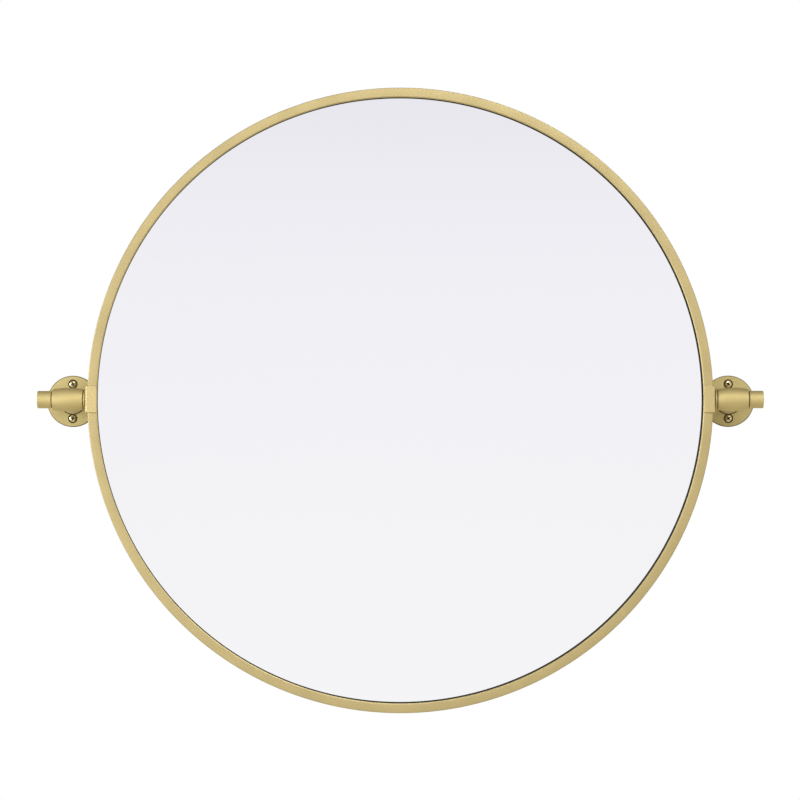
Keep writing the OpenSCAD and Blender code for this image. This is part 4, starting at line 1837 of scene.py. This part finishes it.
@dataclass
class Studio:
    """The pale studio: world, floor, lamps and camera."""

    lamps: tuple[SoftBox, ...]
    eye: tuple[float, float, float] = (0.015, -3.058, -0.116)
    aim: tuple[float, float, float] = (-0.00015, -0.058, -0.0008)
    width_seen: float = 0.7788
    behind: float = 0.45
    behind_from: Point = (-0.2, 0.6)
    diffuse: float = 0.8
    room: tuple[tuple[float, Colour], ...] = (
        (-1.0, (0.65, 0.60, 0.51)),
        (1.0, (0.432, 0.40, 0.344)),
        (-0.5, (0.65, 0.60, 0.51)),
        (-0.42, (0.378, 0.35, 0.30)),
        (-0.12, (0.378, 0.35, 0.30)),
        (-0.08, (1.51, 1.40, 1.20)),
        (0.10, (1.51, 1.40, 1.20)),
        (0.14, (0.454, 0.42, 0.361)),
        (0.42, (0.454, 0.42, 0.361)),
        (0.5, (0.432, 0.40, 0.344)),
    )
    backdrop: tuple[tuple[float, Colour], ...] = (
        (-1.0, (1.0, 1.0, 1.0)),
        (1.0, (1.0, 1.0, 1.0)),
        (-0.25, (1.0, 1.0, 1.0)),
        (-0.06, (0.992, 0.992, 0.995)),
        (0.0, (0.976, 0.975, 0.979)),
        (0.0385, (0.965, 0.957, 0.986)),
        (0.071, (0.957, 0.947, 0.976)),
        (0.103, (0.929, 0.921, 0.958)),
        (0.131, (0.886, 0.877, 0.914)),
        (0.3, (0.90, 0.90, 0.92)),
        (0.6, (0.97, 0.97, 0.98)),
    )
    floor_glow: Colour = (0.65, 0.60, 0.51)
    glass: str = "mirror_glass_piece"
    sensor: float = 36.0
    floor_z: float = -1.2
    floor_r: float = 3.0
    floor_sides: int = 128
    floor_fade: Point = (0.25, 0.95)
    floor_colour: Colour = (0.86, 0.86, 0.86)

    @staticmethod
    def ramp(graph: Graph, height: Socket, stops: Sequence[tuple[float, Colour]]) -> Socket:
        """Adds a colour ramp over the height of a direction.

        Args:
            graph: Node tree to add it to.
            height: Height of the direction, from 0 straight down to 1 straight up.
            stops: Height from -1 to 1 and colour of each stop. The first two are the ends.

        Returns:
            The ramp's colour.
        """
        node = graph.node("ShaderNodeValToRGB")
        graph.feed(node.inputs[0], height)
        elements = node.color_ramp.elements
        for index, (up, colour) in enumerate(stops):
            stop = elements[index] if index < 2 else elements.new((up + 1) / 2)
            stop.position = (up + 1) / 2
            stop.color = (*colour, 1.0)
        return node.outputs["Color"]

    def build_world(self) -> None:
        """Makes the world: white to the camera and near white to the mirror glass, with a pale room round the metal."""
        world = bpy.data.worlds.new("studio")
        world.use_nodes = True
        bpy.context.scene.world = world
        graph = Graph(world.node_tree)
        parts = graph.node("ShaderNodeSeparateXYZ")
        graph.feed(parts.inputs[0], graph.node("ShaderNodeTexCoord").outputs["Generated"])
        height = graph.math("MULTIPLY_ADD", parts.outputs[2], 0.5, 0.5)
        behind = graph.stretch(parts.outputs[1], self.behind_from, (1.0, self.behind), "SMOOTHSTEP")
        paths = graph.node("ShaderNodeLightPath")
        sharp = paths.outputs["Is Singular Ray"]
        shown = graph.math("MAXIMUM", paths.outputs["Is Glossy Ray"], paths.outputs["Is Transmission Ray"])
        strength = graph.blend_value(shown, self.diffuse, behind)
        studio = graph.node("ShaderNodeBackground")
        room, backdrop = self.ramp(graph, height, self.room), self.ramp(graph, height, self.backdrop)
        graph.feed(studio.inputs["Color"], graph.blend(sharp, room, backdrop))
        graph.feed(studio.inputs["Strength"], graph.blend_value(sharp, strength, 1.0))
        white = graph.node("ShaderNodeBackground")
        white.inputs["Color"].default_value = WHITE
        mix = graph.blend_shader(paths.outputs["Is Camera Ray"], studio.outputs[0], white.outputs[0])
        graph.feed(graph.node("ShaderNodeOutputWorld").inputs["Surface"], mix)

    def build_floor(self) -> None:
        """Adds a round pale floor that keeps the object's shadow and fades to white at its rim."""
        Bench.only()
        bpy.ops.mesh.primitive_circle_add(
            vertices=self.floor_sides, radius=self.floor_r, fill_type="NGON", location=(0, 0, self.floor_z)
        )
        floor = Bench.settle(bpy.context.object, "floor")
        material = bpy.data.materials.new("pale_floor")
        material.use_nodes = True
        material.cycles.emission_sampling = "NONE"
        graph = Graph(material.node_tree)
        length = graph.node("ShaderNodeVectorMath", operation="LENGTH")
        scaled = graph.node("ShaderNodeVectorMath", operation="MULTIPLY")
        graph.feed(scaled.inputs[0], graph.node("ShaderNodeTexCoord").outputs["Object"])
        scaled.inputs[1].default_value = (1 / self.floor_r, 1 / self.floor_r, 0.0)
        graph.feed(length.inputs[0], scaled.outputs[0])
        fade = graph.stretch(length.outputs["Value"], self.floor_fade, (0.0, 1.0), "SMOOTHSTEP")
        paths = graph.node("ShaderNodeLightPath")
        clear = graph.math("MAXIMUM", paths.outputs["Is Camera Ray"], paths.outputs["Is Singular Ray"])
        clear = graph.math("MAXIMUM", clear, paths.outputs["Is Transmission Ray"])
        rough = graph.math("SUBTRACT", paths.outputs["Is Glossy Ray"], paths.outputs["Is Singular Ray"])
        matt = graph.node("ShaderNodeBsdfDiffuse")
        matt.inputs["Color"].default_value = shade(self.floor_colour, 1.0)
        white = graph.node("ShaderNodeEmission")
        graph.feed(white.inputs["Color"], graph.blend(clear, shade(self.floor_glow, 1.0), WHITE))
        unlit = graph.math("MAXIMUM", graph.math("MULTIPLY", clear, fade), rough)
        mix = graph.blend_shader(unlit, matt.outputs[0], white.outputs[0])
        graph.feed(graph.node("ShaderNodeOutputMaterial").inputs["Surface"], mix)
        floor.data.materials.append(material)

    def build_camera(self) -> None:
        """Adds the camera, a little below the mirror's middle and looking up at it."""
        data = bpy.data.cameras.new("camera")
        data.sensor_width = self.sensor
        data.lens = self.sensor * (Vector(self.aim) - Vector(self.eye)).length / self.width_seen
        bpy.context.scene.camera = aimed("camera", data, self.eye, self.aim)

    def build_lamps(self) -> None:
        """Adds the lamps and keeps them out of the mirror glass, so that it shows the pale backdrop alone."""
        unlit = bpy.data.collections.new("not_lit_by_lamps")
        unlit.objects.link(bpy.data.objects[self.glass])
        unlit.collection_objects[0].light_linking.link_state = "EXCLUDE"
        for lamp in self.lamps:
            lamp.build().light_linking.receiver_collection = unlit

    def build(self) -> None:
        """Makes the whole studio."""
        bpy.context.scene.view_settings.view_transform = "Standard"
        self.build_world()
        self.build_floor()
        self.build_lamps()
        self.build_camera()


# ---------- the whole ----------

FRAME_BRASS: Colour = (0.550, 0.464, 0.243)
PLATE_BRASS: Colour = (0.605, 0.503, 0.262)
TURNED_BRASS: Colour = (0.714, 0.611, 0.307)
POST_BRASS: Colour = (0.566, 0.487, 0.239)
# Painted shade: a darker brass for the flange's outer edge rounding, where that edge looks dark
EDGE_SHADE_BRASS: Colour = (0.26, 0.21, 0.095)


def main() -> None:
    """Builds every sub-assembly in order, and then the studio round it."""
    logging.basicConfig(level=logging.INFO, stream=sys.stdout, format="%(message)s")
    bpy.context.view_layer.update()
    rolled = SatinMetal("frame_satin_brass", "frame_brass", FRAME_BRASS, Grain.ROUND_FRAME, 0.42, 0.52)
    plate = SatinMetal("saddle_satin_brass", "frame_brass", PLATE_BRASS, Grain.UPRIGHT, 0.36, 0.46)
    turned = SatinMetal("turned_satin_brass", "satin_brass", TURNED_BRASS, Grain.ROUND_PIVOT, 0.60, 0.70)
    standing = SatinMetal("post_satin_brass", "satin_brass", POST_BRASS, Grain.ROUND_POST, 0.42, 0.52)
    # Painted shade on the flange's outer edge rounding
    rim = SatinMetal("flange_rim_brass", "satin_brass", EDGE_SHADE_BRASS, Grain.ROUND_POST, 0.46, 0.56)
    # Painted shade: the near-black brown laid in the flange's hollows and the screws' recesses
    patina = Matt("brown_patina", "satin_brass", (0.055, 0.040, 0.014), 0.7)
    bright = SatinMetal("bright_screw_brass", "screw_brass", (0.82, 0.71, 0.43), Grain.ROUND_POST, 0.26, 0.34)
    zinc = ZincSteel("zinc_plated_steel", "zinc_steel", (0.72, 0.72, 0.70))
    rubber = Matt("black_rubber", "rubber", (0.012, 0.011, 0.009), 0.7)
    fibre = Matt("dark_fibre", "fibre", (0.055, 0.038, 0.018), 0.55)
    nylon = Matt("natural_nylon", "nylon", (0.80, 0.79, 0.74), 0.45, contrast=0.03)
    foam = Matt("white_foam", "foam", (0.82, 0.82, 0.80), 0.9, 1.2 * MM, 0.1 * MM, 0.05)
    silver = MirrorSilver("silvered_glass", "mirror", (0.92, 0.92, 0.935))
    glass_edge = Matt("green_glass_edge", "mirror", (0.20, 0.34, 0.29), 0.15, contrast=0.05)
    paint = Matt("mirror_back_paint", "mirror", (0.24, 0.27, 0.29), 0.5, contrast=0.04)
    board = Fibreboard("raw_fibreboard", "board", (0.44, 0.31, 0.19), (0.25, 0.16, 0.09))
    assemblies = (
        MirrorFrame(rolled),
        Glazing(rubber, silver, glass_edge, paint),
        Backing(board, zinc, rubber, foam),
        Saddle(plate),
        PivotStack(turned, fibre, nylon),
        PivotBolt(zinc),
        # The last two finishes are painted shade: one for the flange's hollows and one for its outer edge
        WallBracket(turned, standing, zinc, patina, rim),
        WallScrew(bright, patina),
        EndKnob(turned),
        Studio(
            (
                SoftBox("key", (-1.45, -2.7, -0.2), (0, 0, 0), 1.1, 1.4, 11.0),
                SoftBox("side", (-2.8, -1.3, 0.1), (0, 0, 0), 1.2, 1.4, 33.0),
                SoftBox("upper_right", (0.8, -2.3, 1.6), (0, 0, 0), 1.8, 0.9, 22.0),
                SoftBox("upper_middle", (0.0, -2.6, 1.3), (0, 0, 0), 1.8, 0.9, 3.95),
                SoftBox("overhead", (0.0, -0.8, 3.0), (0, 0, 0), 2.4, 1.2, 1.9),
            )
        ),
    )
    for assembly in assemblies:
        LOG.info("-- %s", type(assembly).__name__)
        assembly.build()


if __name__ == "__main__":
    main()
